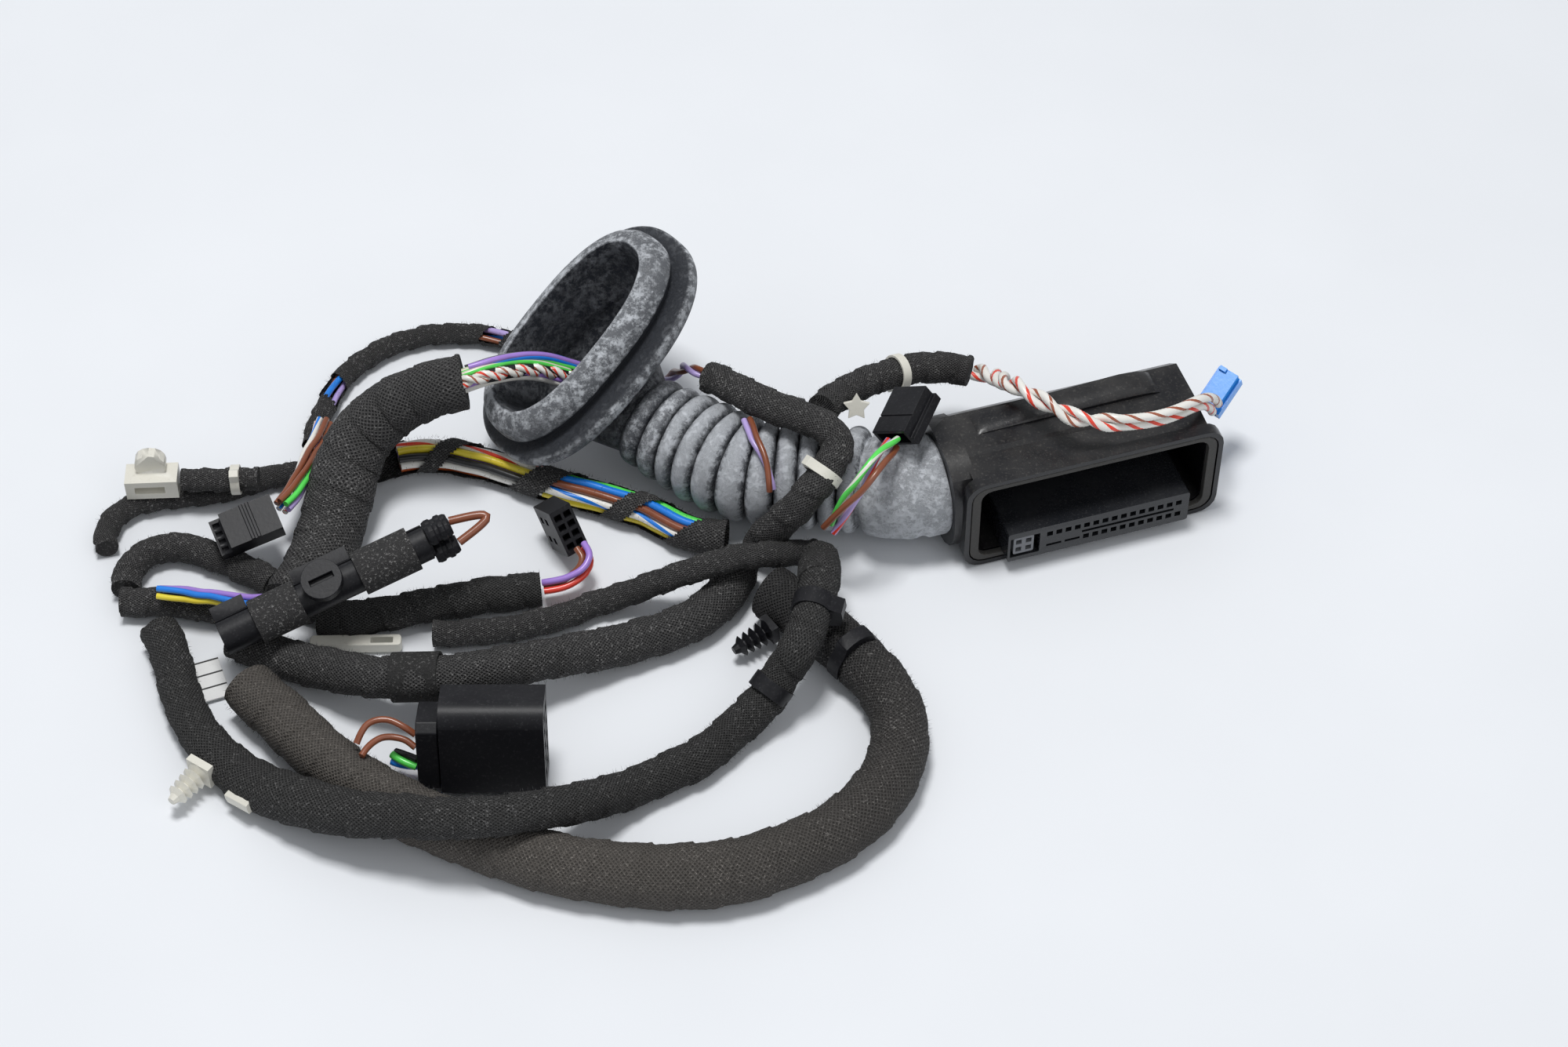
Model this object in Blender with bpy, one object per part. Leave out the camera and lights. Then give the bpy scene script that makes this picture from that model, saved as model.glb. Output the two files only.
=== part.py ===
"""Door wiring harness: taped bundles laid in loops, a rubber door grommet with a bellows, the
main connector shell at its end, and the small connectors and clips along the branches.

All sizes and places here are in millimetres. Meshes are turned into metres where they are made.
+X runs to the right along the harness, +Y to the back, +Z up, and the floor is at z = 0.
"""

import math

import bmesh
import bpy
from mathutils import Matrix, Vector

MM = 0.001
# Puts the origin on the floor, under the middle of the box round the shell and the grommet
LAYOUT_SHIFT = (-15.05, -24.08, 0.0)

# Clearances
SEAT_GAP = 0.3
BUTT_GAP = 0.3

# Main connector shell, in its own frame: x along the mouth, y into the shell, z up
SHELL_ORIGIN = (46.3, -15.7, 0.0)
SHELL_AXIS = (0.953, 0.302, 0.0)
RIM_LENGTH = 70.0
RIM_HEIGHT = 30.0
RIM_DEPTH = 3.5
RIM_CORNER = 5.0
RIM_OVERHANG = 3.0
RIM_STEP = 2.0
SHELL_WALL = 1.0
SHELL_DEPTH = 32.5
SHELL_SHOULDER = 1.8
SHELL_CHAMFER = 2.5
CAVITY_DEPTH = 28.0
CAVITY_CORNER = 3.0
HUMP_START = 9.0
HUMP_END = 59.0
HUMP_FRONT = 12.5
HUMP_LOW = 0.7
HUMP_HIGH = 3.0
HUMP_SETBACK = 2.0
CEILING_RIB = 1.2
CEILING_RIBS = (17.0, 24.0, 42.0, 49.0)
LATCH_WIDTH = 4.0
LATCH_HEIGHT = 10.0
LATCH_LIFT = 14.0
LATCH_DEPTH = 1.8

# Collar where the bellows plugs into the shell
COLLAR_LENGTH = 5.0
COLLAR_BORE = 12.8
COLLAR_WALL = 2.2
COLLAR_Y = 17.5
COLLAR_Z = 15.6
BOOT_INSERTION = 3.5

# Seal round the mouth
SEAL_DEPTH = 2.2
SEAL_INSET = 1.3

# Contact insert
INSERT_START = 10.35
INSERT_LENGTH = 49.85
INSERT_HEIGHT = 10.2
INSERT_DEPTH = 24.0
INSERT_REACH = 4.0
CONTACT_PITCH = 2.54
CONTACT_CAVITY = 1.6
CONTACT_DEPTH = 3.0
CONTACT_COLUMNS = 15
CONTACT_START = 11.4
CONTACT_ROW_LOW = 3.0
CONTACT_ROW_HIGH = 7.2
DIVIDER_HEIGHT = 0.8
MODULE_START = 1.6
MODULE_LENGTH = 5.6
MODULE_HEIGHT = 6.0
MODULE_LIFT = 2.0
MODULE_DEPTH = 4.4
MODULE_HOLE = 1.5
MODULE_PITCH = 2.7

# Door grommet: oval mouth, flange and bellows moulded as one piece of rubber
FLANGE_CENTRE = (-51.2, 35.1, 31.0)
MOUTH_LONG_AXIS = (0.626, 0.577, 0.520)
MOUTH_NORMAL = (-0.500, -0.213, 0.838)
MOUTH_POWER = 2.5
MOUTH_RISE = 11.0
MOUTH_WALL = 3.5
FLANGE_LONG = 35.8
FLANGE_SHORT = 23.1
FLANGE_DEPTH = 4.5
GROOVE_LONG = 31.0
GROOVE_SHORT = 16.0
BAND_LONG = 32.3
BAND_SHORT = 17.6
RIM_LONG = 30.0
RIM_SHORT = 15.8
NECK_WALL = 1.6
NECK_POWER = 2.2
GROMMET_SEGMENTS = 20
BELLOWS_RINGS = 11
BELLOWS_PITCH = 5.74
BELLOWS_CREST = 14.0
BELLOWS_ROOT = 11.3
BELLOWS_WALL = 1.5
BOOT_RADIUS = 13.8
BOOT_LENGTH = 13.0
BOOT_LIP_RADIUS = 13.5
BOOT_LIP_LENGTH = 4.5
BOOT_GROOVE = 12.9
BELLOWS_ROUTE = [
    (-36.7, 23.3, 15.5), (-33.7, 21.2, 15.0), (-30.2, 18.8, 14.6), (-25.8, 15.9, 14.4),
    (-21.1, 12.6, 14.3), (-16.1, 9.3, 14.3), (-11.2, 6.7, 14.3), (-5.5, 5.0, 14.3),
    (0.0, 4.3, 14.3), (8.0, 3.6, 14.4), (16.0, 2.4, 14.7), (24.0, 0.6, 15.1), (29.5, -0.8, 15.4),
]
# Sections of the elbow between the mouth and the first ring: along the short axis and the normal,
# the near edge, the far edge, then half the long side and the middle's shift along the long axis
ELBOW_SECTIONS = [
    ((12.5, -3.8), (-12.5, -3.8), 22.0, -2.0), ((13.0, -6.0), (-12.0, -10.0), 20.0, -3.0),
    ((14.2, -7.4), (-6.5, -19.0), 16.0, -4.5), ((16.8, -8.0), (2.0, -25.5), 13.0, -5.5),
]

# Bundles, each with its diameter; the points are the middle of the bundle
TRUNK_DIAMETER = 13.0
TRUNK = [
    (-82.5, 19.5, 33.0), (-86.0, 19.0, 32.5), (-90.0, 19.0, 31.0), (-94.0, 19.0, 29.0),
    (-98.0, 18.5, 27.0), (-102.0, 18.0, 24.5), (-105.5, 16.0, 22.0), (-109.0, 14.0, 19.5),
    (-111.5, 10.5, 17.0), (-113.5, 7.0, 14.5), (-114.5, 2.5, 12.0), (-115.5, -1.5, 9.5),
    (-116.5, -7.0, 7.5), (-118.0, -13.5, 6.7), (-120.0, -20.5, 6.7), (-122.5, -27.5, 6.7),
    (-125.0, -33.5, 6.7),
]
WIDE_BUNDLE_DIAMETER = 13.0
WIDE_BUNDLE = [
    (-132.5, -60.5, 6.7), (-130.0, -63.5, 6.7), (-126.0, -67.5, 6.7), (-120.5, -73.5, 6.7),
    (-114.2, -80.2, 6.7), (-107.0, -86.7, 6.7), (-98.2, -93.5, 6.7), (-88.3, -99.7, 6.7),
    (-77.2, -105.2, 6.7), (-65.3, -110.4, 6.7), (-53.0, -114.5, 6.7), (-40.0, -117.0, 6.7),
    (-26.0, -118.0, 6.7), (-12.0, -116.5, 6.7), (1.0, -111.5, 6.7), (12.0, -105.0, 6.7),
    (21.0, -96.0, 6.7), (27.0, -84.5, 6.7), (28.5, -72.5, 6.7), (25.0, -61.5, 6.7),
    (18.5, -51.5, 6.7), (10.0, -42.0, 6.7), (2.5, -34.5, 6.7), (-3.8, -29.2, 6.9),
]
FRONT_LOOP_DIAMETER = 9.0
FRONT_LOOP = [
    (9.0, -25.0, 14.4), (9.0, -34.5, 18.6), (8.0, -43.0, 19.4), (6.0, -51.0, 19.2),
    (3.5, -57.5, 17.5), (0.0, -60.5, 13.0), (-3.5, -64.5, 9.0), (-8.5, -69.0, 6.0),
    (-14.0, -74.5, 4.7), (-20.5, -81.0, 4.7), (-29.0, -86.0, 4.7), (-37.0, -91.0, 5.5),
    (-43.5, -96.0, 8.5), (-49.0, -100.5, 12.0), (-55.0, -104.5, 15.5), (-62.0, -108.0, 18.2),
    (-69.0, -109.5, 18.9), (-75.5, -109.5, 18.5), (-81.5, -109.0, 17.3), (-89.0, -107.0, 15.6),
    (-97.3, -105.4, 13.8), (-106.0, -102.4, 11.5), (-115.2, -98.0, 9.0), (-124.0, -92.3, 6.2),
    (-132.3, -86.0, 4.7), (-139.4, -79.0, 4.7), (-145.2, -70.6, 4.7), (-149.4, -61.6, 4.7),
    (-152.2, -53.0, 4.7), (-155.0, -45.5, 4.7), (-157.5, -40.5, 4.7),
]
MIDDLE_UPPER_DIAMETER = 6.6
MIDDLE_UPPER = [
    (8.0, -17.0, 8.0), (4.0, -18.5, 9.5), (0.0, -21.0, 11.8), (-4.0, -23.0, 13.8),
    (-8.0, -24.2, 14.8), (-12.0, -25.0, 15.0), (-16.5, -26.5, 14.8), (-21.0, -28.0, 14.3),
    (-26.0, -28.5, 12.5), (-32.0, -28.5, 9.3), (-38.0, -28.5, 6.0), (-44.0, -29.5, 4.0),
    (-50.0, -31.5, 3.5), (-55.5, -34.5, 3.5), (-61.5, -36.5, 3.5), (-67.5, -38.5, 3.5),
    (-73.5, -39.5, 3.5), (-79.0, -40.0, 3.5), (-84.0, -40.5, 3.5), (-88.5, -40.5, 3.5),
]
FOUR_WAY_BRANCH_DIAMETER = 9.0
FOUR_WAY_BRANCH = [
    (-62.0, -26.5, 4.7), (-65.5, -27.0, 4.7), (-69.5, -28.0, 4.7), (-74.0, -28.5, 4.7),
    (-78.5, -29.5, 4.7), (-83.0, -30.5, 4.7), (-87.5, -31.5, 4.7), (-92.0, -32.5, 4.7),
    (-96.5, -34.0, 4.7), (-101.0, -35.0, 4.7), (-105.0, -36.0, 4.7), (-109.0, -36.5, 4.7),
    (-113.0, -36.5, 4.7), (-117.5, -36.0, 4.7),
]
MIDDLE_LOWER_DIAMETER = 10.5
MIDDLE_LOWER = [
    (-11.5, -18.5, 5.8), (-13.0, -25.0, 5.4), (-16.5, -31.0, 5.4), (-21.5, -36.5, 5.4),
    (-28.5, -41.0, 5.4), (-35.5, -44.0, 5.6), (-43.0, -47.5, 6.5), (-50.5, -51.0, 8.5),
    (-58.5, -55.0, 11.0), (-65.5, -58.5, 13.0), (-73.0, -61.5, 14.5), (-80.5, -63.5, 15.0),
    (-88.5, -64.5, 15.0), (-96.0, -63.5, 14.0), (-104.0, -61.0, 12.0), (-111.5, -57.0, 9.0),
    (-119.5, -53.0, 6.5), (-127.5, -49.0, 5.4), (-133.5, -46.0, 5.4), (-138.0, -43.8, 5.4),
]
HALF_TAPED_DIAMETER = 9.5
HALF_TAPED = [
    (-14.8, -9.7, 5.1), (-19.5, -9.0, 5.0), (-22.5, -8.0, 5.0), (-27.0, -6.0, 5.0),
    (-31.5, -3.0, 5.0), (-36.0, 0.0, 5.0), (-41.0, 2.0, 5.0), (-46.0, 4.0, 5.0),
    (-51.5, 6.0, 5.0), (-56.5, 7.5, 5.0), (-61.5, 9.5, 5.0), (-67.0, 12.0, 5.0),
    (-72.5, 14.5, 5.0), (-77.5, 16.5, 5.0), (-83.0, 18.0, 5.0), (-88.0, 19.5, 5.0),
    (-93.5, 20.0, 5.0), (-99.0, 19.5, 5.0), (-104.0, 18.0, 5.0), (-108.5, 16.0, 5.0),
]
CROSS_BRANCH_DIAMETER = 8.5
CROSS_BRANCH = [
    (-19.5, 27.0, 27.0), (-16.5, 24.5, 28.0), (-12.5, 20.0, 29.8), (-8.5, 15.5, 31.4),
    (-4.5, 11.5, 32.8), (-0.5, 8.5, 33.8), (4.0, 6.0, 34.4), (8.5, 3.0, 34.8),
    (12.0, 0.0, 34.6), (13.5, -3.0, 33.3), (12.5, -6.8, 31.4), (9.5, -10.7, 29.1),
    (6.0, -13.4, 25.9), (2.5, -14.6, 21.6), (-1.0, -14.8, 17.0), (-3.8, -14.3, 12.5),
    (-5.5, -13.2, 9.0), (-6.5, -12.0, 5.2),
]
BACK_BRANCH_DIAMETER = 8.0
BACK_BRANCH = [
    (49.0, 36.0, 20.0), (46.0, 37.0, 20.0), (42.5, 37.0, 20.5), (39.5, 36.5, 21.0),
    (36.0, 36.0, 21.5), (32.5, 34.5, 22.0), (29.5, 32.5, 23.0), (26.0, 30.5, 24.0),
    (22.5, 28.0, 25.0), (19.5, 24.5, 26.5), (17.0, 21.5, 28.0), (14.5, 18.0, 29.5),
    (12.0, 14.5, 31.0), (9.6, 10.0, 32.6),
]
BACK_LOOP_DIAMETER = 5.6
BACK_LOOP = [
    (-64.5, 64.0, 3.0), (-70.0, 64.0, 3.0), (-75.0, 65.0, 3.0), (-80.5, 66.5, 3.0),
    (-86.0, 67.5, 3.0), (-91.5, 67.5, 3.0), (-97.0, 67.0, 3.0), (-102.0, 65.5, 3.0),
    (-107.5, 63.0, 3.0), (-112.0, 59.5, 3.0), (-116.0, 55.5, 3.0), (-119.5, 50.5, 3.0),
    (-122.0, 44.5, 3.0), (-123.5, 38.0, 3.0), (-125.0, 31.5, 3.0), (-125.5, 25.0, 3.0),
]
LEFT_HOOK_DIAMETER = 6.0
LEFT_HOOK = [
    (-109.7, 15.6, 3.8), (-113.5, 15.0, 3.2), (-118.5, 15.0, 3.2), (-123.5, 15.5, 3.2), (-129.0, 15.0, 3.2),
    (-134.5, 14.0, 3.2), (-139.5, 12.0, 3.2), (-144.5, 9.5, 3.2), (-150.0, 8.0, 3.2),
    (-155.0, 7.0, 3.2), (-160.0, 6.5, 3.2), (-164.5, 5.5, 3.2), (-169.0, 4.0, 3.2),
    (-172.5, 1.5, 3.2), (-175.0, -2.0, 3.2), (-176.0, -7.0, 3.2), (-175.0, -11.5, 3.2),
]
LEFT_UPPER_DIAMETER = 7.5
LEFT_UPPER = [
    (-130.5, -24.5, 4.0), (-134.5, -21.5, 4.0), (-139.0, -19.0, 4.0), (-143.0, -16.5, 4.0),
    (-148.0, -14.5, 4.0), (-152.5, -12.5, 4.0), (-157.0, -12.0, 4.0), (-161.0, -12.5, 4.0),
    (-164.5, -14.5, 4.0), (-167.0, -17.5, 4.0), (-168.0, -21.5, 4.0), (-168.0, -26.4, 4.0),
]
LEFT_STUB_DIAMETER = 7.5
LEFT_STUB = [
    (-168.5, -30.5, 4.0), (-165.0, -30.5, 4.0), (-161.5, -30.5, 4.0), (-158.0, -30.5, 4.0),
    (-154.5, -31.0, 4.0), (-150.5, -31.5, 4.0), (-147.0, -32.0, 4.0), (-143.0, -33.0, 4.0),
]
STUB_WIRES_DIAMETER = 4.0
STUB_WIRES = [
    (-158.0, -32.5, 10.2), (-154.5, -33.0, 10.4), (-151.0, -33.5, 10.6), (-147.5, -34.5, 10.9),
    (-144.0, -35.0, 11.3), (-140.5, -36.0, 11.6), (-137.0, -37.0, 12.0), (-133.5, -38.0, 12.6),
    (-130.0, -38.5, 13.4), (-127.5, -39.5, 14.0),
]
PAIR_BACK_DIAMETER = 3.2
PAIR_BACK = [
    (-63.6, 63.6, 3.0), (-59.0, 61.5, 2.6), (-53.5, 58.0, 2.2), (-47.5, 53.5, 2.2),
    (-41.5, 49.5, 3.2), (-35.8, 45.5, 6.5), (-31.2, 42.0, 11.5), (-28.2, 38.8, 17.0),
    (-26.8, 35.6, 21.5), (-25.2, 32.8, 24.8), (-24.2, 31.0, 26.2), (-22.8, 29.4, 26.8),
    (-20.4, 28.0, 27.0),
]
PAIR_OVER_DIAMETER = 3.2
PAIR_OVER = [
    (-9.5, 9.0, 29.9), (-8.5, 5.5, 30.2), (-7.5, 2.0, 30.0), (-6.0, -1.0, 29.2),
    (-4.8, -3.5, 28.0), (-4.0, -6.0, 26.4), (-3.5, -8.0, 24.6), (-3.2, -9.0, 22.6),
]
BLUE_PAIR_DIAMETER = 5.2
BLUE_PAIR = [
    (50.3, 35.4, 20.3), (52.2, 34.0, 21.5), (54.5, 30.0, 24.5), (56.0, 24.5, 29.0), (57.0, 18.0, 34.5),
    (59.5, 12.5, 38.5), (63.0, 8.5, 39.5), (66.5, 5.5, 39.5), (70.5, 3.0, 39.0),
    (74.5, 1.0, 38.5), (79.5, 0.5, 38.0), (84.5, 0.5, 37.5), (90.0, 1.5, 37.0),
    (95.0, 3.0, 36.6), (100.0, 5.5, 36.2), (104.5, 9.0, 35.2), (108.0, 12.5, 32.9),
    (110.4, 15.6, 29.1), (111.5, 18.0, 25.8), (112.2, 19.6, 23.3),
]
THREE_WAY_WIRES_DIAMETER = 5.0
THREE_WAY_WIRES = [
    (27.9, -3.4, 34.6), (26.4, -6.4, 35.3), (24.6, -9.8, 36.4), (22.8, -13.0, 36.4),
    (21.0, -15.6, 35.2), (19.0, -17.5, 32.8), (16.5, -18.5, 29.5), (14.5, -19.0, 26.0),
    (12.7, -19.3, 22.4), (11.5, -19.4, 19.8),
]
FOUR_WAY_WIRES_DIAMETER = 4.4
FOUR_WAY_WIRES = [
    (-61.3, -26.4, 5.0), (-58.5, -26.0, 5.5), (-56.0, -25.4, 6.0), (-53.5, -24.3, 6.8),
    (-51.2, -22.6, 7.8), (-50.2, -19.6, 9.0), (-52.0, -16.5, 9.4),
]
FIVE_WAY_WIRES_DIAMETER = 5.0
FIVE_WAY_WIRES = [
    (-122.0, 27.5, 9.3), (-122.5, 22.5, 9.5), (-123.0, 19.0, 9.8), (-124.0, 15.0, 10.4),
    (-124.5, 10.5, 11.2), (-125.0, 6.5, 12.0), (-126.0, 2.0, 12.8), (-127.0, -2.0, 13.3),
    (-129.0, -6.4, 13.6),
]
CLIP_STUB_DIAMETER = 6.0
CLIP_STUB = [
    (-137.0, 7.0, 9.6), (-140.5, 7.0, 9.6), (-143.5, 7.0, 9.6), (-146.5, 6.5, 9.6),
    (-149.0, 6.5, 9.6), (-152.0, 6.5, 9.6), (-155.0, 6.5, 9.6), (-157.0, 6.5, 9.6),
]
BROWN_LOOP_DIAMETER = 1.7
BROWN_LOOP_A = [
    (-89.0, -82.0, 15.0), (-91.5, -81.0, 16.5), (-95.0, -79.5, 17.3), (-98.0, -79.5, 17.5),
    (-100.5, -80.5, 17.0), (-102.0, -82.5, 16.0), (-103.0, -84.5, 14.6),
]
BROWN_LOOP_B = [
    (-89.0, -84.0, 12.5), (-91.5, -82.5, 13.5), (-94.5, -82.0, 14.0), (-97.0, -82.5, 14.4),
    (-99.0, -84.0, 14.5), (-100.5, -86.0, 14.5), (-101.5, -88.0, 14.3),
]
LOWER_WIRES_DIAMETER = 4.6
LOWER_WIRES = [
    (-88.9, -84.0, 6.5), (-91.0, -83.5, 6.5), (-93.0, -82.8, 6.4), (-95.0, -81.8, 6.2),
]
INNER_BUNDLE_DIAMETER = 9.0
INNER_BUNDLE = [
    (-81.6, 19.7, 33.2), (-79.0, 20.5, 33.2), (-75.5, 22.0, 33.0), (-71.5, 24.2, 32.0),
    (-67.0, 26.6, 30.5), (-62.5, 28.5, 28.5), (-58.0, 29.5, 26.2), (-53.3, 30.0, 23.8),
    (-48.5, 30.3, 20.3), (-44.0, 28.7, 17.4), (-40.3, 26.1, 16.1),
]
POINT_SPACING = 1.4
END_PIECE = 0.3

# Small connectors: each one's size, then its place as a point, its x axis and its y axis
THREE_WAY_SIZE = (12.0, 14.5, 5.6)
THREE_WAY_PLACE = ((29.6, 4.2, 38.8), (0.72, -0.46, 0.51), (0.40, 0.89, 0.23))
THREE_WAY_STEP = 1.2
THREE_WAY_WALL = 0.9
FIVE_WAY_SIZE = (14.0, 10.0, 5.8)
FIVE_WAY_PLACE = ((-136.1, -13.8, 16.4), (0.91, 0.38, 0.15), (-0.41, 0.85, 0.34))
FIVE_WAY_LEDGE = 3.0
FIVE_WAY_TEETH = 4
FOUR_WAY_SIZE = (6.2, 11.8, 12.6)
FOUR_WAY_PLACE = ((-57.6, -15.2, 12.2), (0.83, 0.546, 0.10), (-0.41, 0.725, -0.558))
FOUR_WAY_CAVITY = (2.0, 1.8, 4.0)
BLUE_SIZE = (6.8, 11.2, 5.9)
BLUE_PLACE = ((114.5, 27.3, 20.0), (0.80, -0.59, -0.10), (0.56, 0.68, 0.47))
BLUE_STEP = 0.8
BLUE_CAVITY = 2.0
LARGE_SIZE = (25.3, 12.0, 23.6)
LARGE_PLACE = ((-82.8, -91.2, 3.9), (1.0, 0.0, 0.0), (0.0, 0.961, -0.276))
LARGE_CORNER = 5.0
LARGE_CAVITY = (4.0, 3.0, 2.8)
LARGE_CAP_WIDTH = 5.6
LARGE_CAP_DROP = 4.5
LARGE_CAP_INSET = 0.6
LARGE_CAP_BEVEL = 2.0

# Splice holder: a slit channel with a flat plate along its back, which holds sealed plugs
HOLDER_START = (-139.1, -51.6, 14.9)
HOLDER_END = (-89.0, -29.4, 25.9)
HOLDER_SIDE = (-0.55, 0.8, 0.35)
HOLDER_RADIUS = 4.6
HOLDER_WALL = 0.8
HOLDER_SLIT = 10.0
HOLDER_PLATE_WIDTH = 3.6
HOLDER_PLATE_THICKNESS = 1.4
HOLDER_WRAPS = (("holder_wrap_left", 9.0, 12.3), ("holder_wrap_right", 37.0, 15.0))
PLUG_RADIUS = 2.9
PLUG_GROOVE = 0.4
PLUG_CIRCLE = 3.55
PLUG_REACH = 6.5
WRAP_THICKNESS = 0.8
PLUG_WIRE_DIAMETER = 2.2
PLUG_WIRE_REACH = 9.0
DISC_RADIUS = 5.2
DISC_THICKNESS = 2.8
DISC_STATION = 28.3
DISC_SLOT = 1.4

# Clips and bands
BAND_WIDTH = 2.4
BAND_THICKNESS = 0.7
WHITE_CLIP_SIZE = (13.5, 7.0, 6.0)
WHITE_CLIP_PLACE = ((-164.5, 6.3, 9.6), (1.0, 0.05, 0.0), (-0.05, 1.0, 0.0))
WHITE_CLIP_DOME = 4.0
STAR_PLACE = ((18.6, 11.7, 32.0), (1.0, 0.0, 0.0), (0.0, 0.5, 0.85))
STAR_RADIUS = 3.6
STAR_NOTCH = 2.0
STAR_THICKNESS = 1.4
FIR_PITCH = 1.9
FIR_RIBS = 5
FIR_RADIUS = 3.5
FIR_TIP_RADIUS = 2.7
FIR_CORE = 1.5
WHITE_FIR_PLACE = ((-141.2, -85.5, 5.6), (-0.55, -0.83, 0.0), (0.0, 0.0, 1.0))
WHITE_FIR_FOOT = 3.4
BLACK_FIR_PLACE = ((-3.2, -40.4, 5.5), (-0.8, -0.55, -0.1), (0.0, 0.0, 1.0))
BLACK_FIR_FOOT = 2.8
SLOT_CLIP_SIZE = (23.0, 3.6, 3.0)
SLOT_CLIP_PLACE = ((-108.0, -42.5, 1.9), (1.0, 0.02, 0.0), (0.0, 1.0, 0.0))
SLOT_CLIP_SLOT = (5.5, 1.8)
LABEL_SIZE = (13.0, 7.6, 0.5)
LABEL_PLACE = ((-143.8, -53.5, 0.8), (0.36, -0.93, 0.0), (0.93, 0.36, 0.0))

CREAM = ((0.80, 0.78, 0.70), 0.45, 0.0)
BLACK_PLASTIC = ((0.018, 0.018, 0.020), 0.40, 0.0)
DARK_TAPE = ((0.020, 0.020, 0.021), 0.95, 0.0)
RUBBER = ((0.32, 0.33, 0.35), 0.80, 0.0)
SEAL_RUBBER = ((0.10, 0.095, 0.085), 0.85, 0.0)
GREY_PLASTIC = ((0.045, 0.048, 0.055), 0.45, 0.0)
BLUE_PLASTIC = ((0.02, 0.22, 0.75), 0.40, 0.0)
BROWN_WIRE = ((0.20, 0.07, 0.03), 0.35, 0.0)
WHITE_WIRE = ((0.75, 0.72, 0.68), 0.35, 0.0)
LILAC_WIRE = ((0.30, 0.20, 0.50), 0.35, 0.0)
BLUE_WIRE = ((0.02, 0.18, 0.60), 0.35, 0.0)
RED_WIRE = ((0.60, 0.03, 0.02), 0.35, 0.0)
PAPER = ((0.85, 0.85, 0.84), 0.60, 0.0)


def clear_scene():
    for obj in list(bpy.data.objects):
        bpy.data.objects.remove(obj, do_unlink=True)


def make_material(name, look):
    colour, roughness, metallic = look
    material = bpy.data.materials.new(name)
    material.use_nodes = True
    shader = material.node_tree.nodes["Principled BSDF"]
    shader.inputs["Base Color"].default_value = (*colour, 1.0)
    shader.inputs["Roughness"].default_value = roughness
    shader.inputs["Metallic"].default_value = metallic
    material.diffuse_color = (*colour, 1.0)
    return material


def frame_matrix(origin, x_axis, y_axis):
    """A placement in millimetres: x along x_axis, y as near y_axis as it can be."""
    x = Vector(x_axis).normalized()
    z = x.cross(Vector(y_axis)).normalized()
    matrix = Matrix((x, z.cross(x), z)).transposed().to_4x4()
    matrix.translation = Vector(origin)
    return matrix


def make_frame(name, placement, parent=None):
    """An empty that holds the pieces of one assembly."""
    frame = bpy.data.objects.new(name, None)
    bpy.context.scene.collection.objects.link(frame)
    frame.parent = parent
    frame.location = placement.translation * MM
    frame.rotation_euler = placement.to_euler()
    return frame


def add_object(name, data, look, frame):
    obj = bpy.data.objects.new(name, data)
    bpy.context.scene.collection.objects.link(obj)
    obj.parent = frame
    if look:
        data.materials.append(make_material(name, look))
    return obj


def add_mesh(name, shape, look, frame, smooth_angle=35.0):
    """A mesh object from points in millimetres and faces, with its faces turned outwards."""
    points, faces = shape
    mesh = bpy.data.meshes.new(name)
    mesh.from_pydata([Vector(point) * MM for point in points], [], faces)
    work = bmesh.new()
    work.from_mesh(mesh)
    bmesh.ops.recalc_face_normals(work, faces=work.faces)
    work.to_mesh(mesh)
    work.free()
    mesh.shade_smooth()
    mesh.set_sharp_from_angle(angle=math.radians(smooth_angle))
    return add_object(name, mesh, look, frame)


def combine(target, operation, name, shape, frame):
    """Joins a helper shape to a mesh object, or cuts it out."""
    tool = add_mesh(name, shape, None, frame)
    tool.hide_render = True
    tool.display_type = "WIRE"
    modifier = target.modifiers.new(name, "BOOLEAN")
    modifier.operation = operation
    modifier.solver = "EXACT"
    modifier.object = tool


def loft(loops, closed=False):
    """Skins loops of equal point count, with a cap at each end or closed on itself as a ring."""
    count = len(loops[0])
    points = [point for loop in loops for point in loop]
    faces = []
    for row in range(len(loops) if closed else len(loops) - 1):
        here = row * count
        there = (row + 1) % len(loops) * count
        for side in range(count):
            following = (side + 1) % count
            faces.append((here + side, here + following, there + following, there + side))
    if not closed:
        faces.append(tuple(range(count)))
        faces.append(tuple(range(len(points) - count, len(points))))
    return points, faces


def join(shapes):
    """Several closed shapes as one list of points and faces, for a cutter of many pockets."""
    points, faces = [], []
    for shape_points, shape_faces in shapes:
        start = len(points)
        points += shape_points
        faces += [tuple(start + corner for corner in face) for face in shape_faces]
    return points, faces


def along_x(outline, low, high):
    return loft([[(low, u, v) for u, v in outline], [(high, u, v) for u, v in outline]])


def along_y(outline, low, high):
    return loft([[(u, low, v) for u, v in outline], [(u, high, v) for u, v in outline]])


def along_z(outline, low, high):
    return loft([[(u, v, low) for u, v in outline], [(u, v, high) for u, v in outline]])


def box(low, high):
    corners = [(low[0], low[1]), (high[0], low[1]), (high[0], high[1]), (low[0], high[1])]
    return along_z(corners, low[2], high[2])


def rounded_rect(left, right, bottom, top, radius, steps=4):
    outline = []
    corners = ((right, top, 0), (left, top, 90), (left, bottom, 180), (right, bottom, 270))
    for u, v, start in corners:
        centre_u = u - radius if u == right else u + radius
        centre_v = v - radius if v == top else v + radius
        for step in range(steps + 1):
            angle = math.radians(start + 90.0 * step / steps)
            outline.append((centre_u + radius * math.cos(angle), centre_v + radius * math.sin(angle)))
    return outline


def circle(radius, segments=24, centre=(0.0, 0.0)):
    angles = [2.0 * math.pi * step / segments for step in range(segments)]
    return [(centre[0] + radius * math.cos(a), centre[1] + radius * math.sin(a)) for a in angles]


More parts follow.
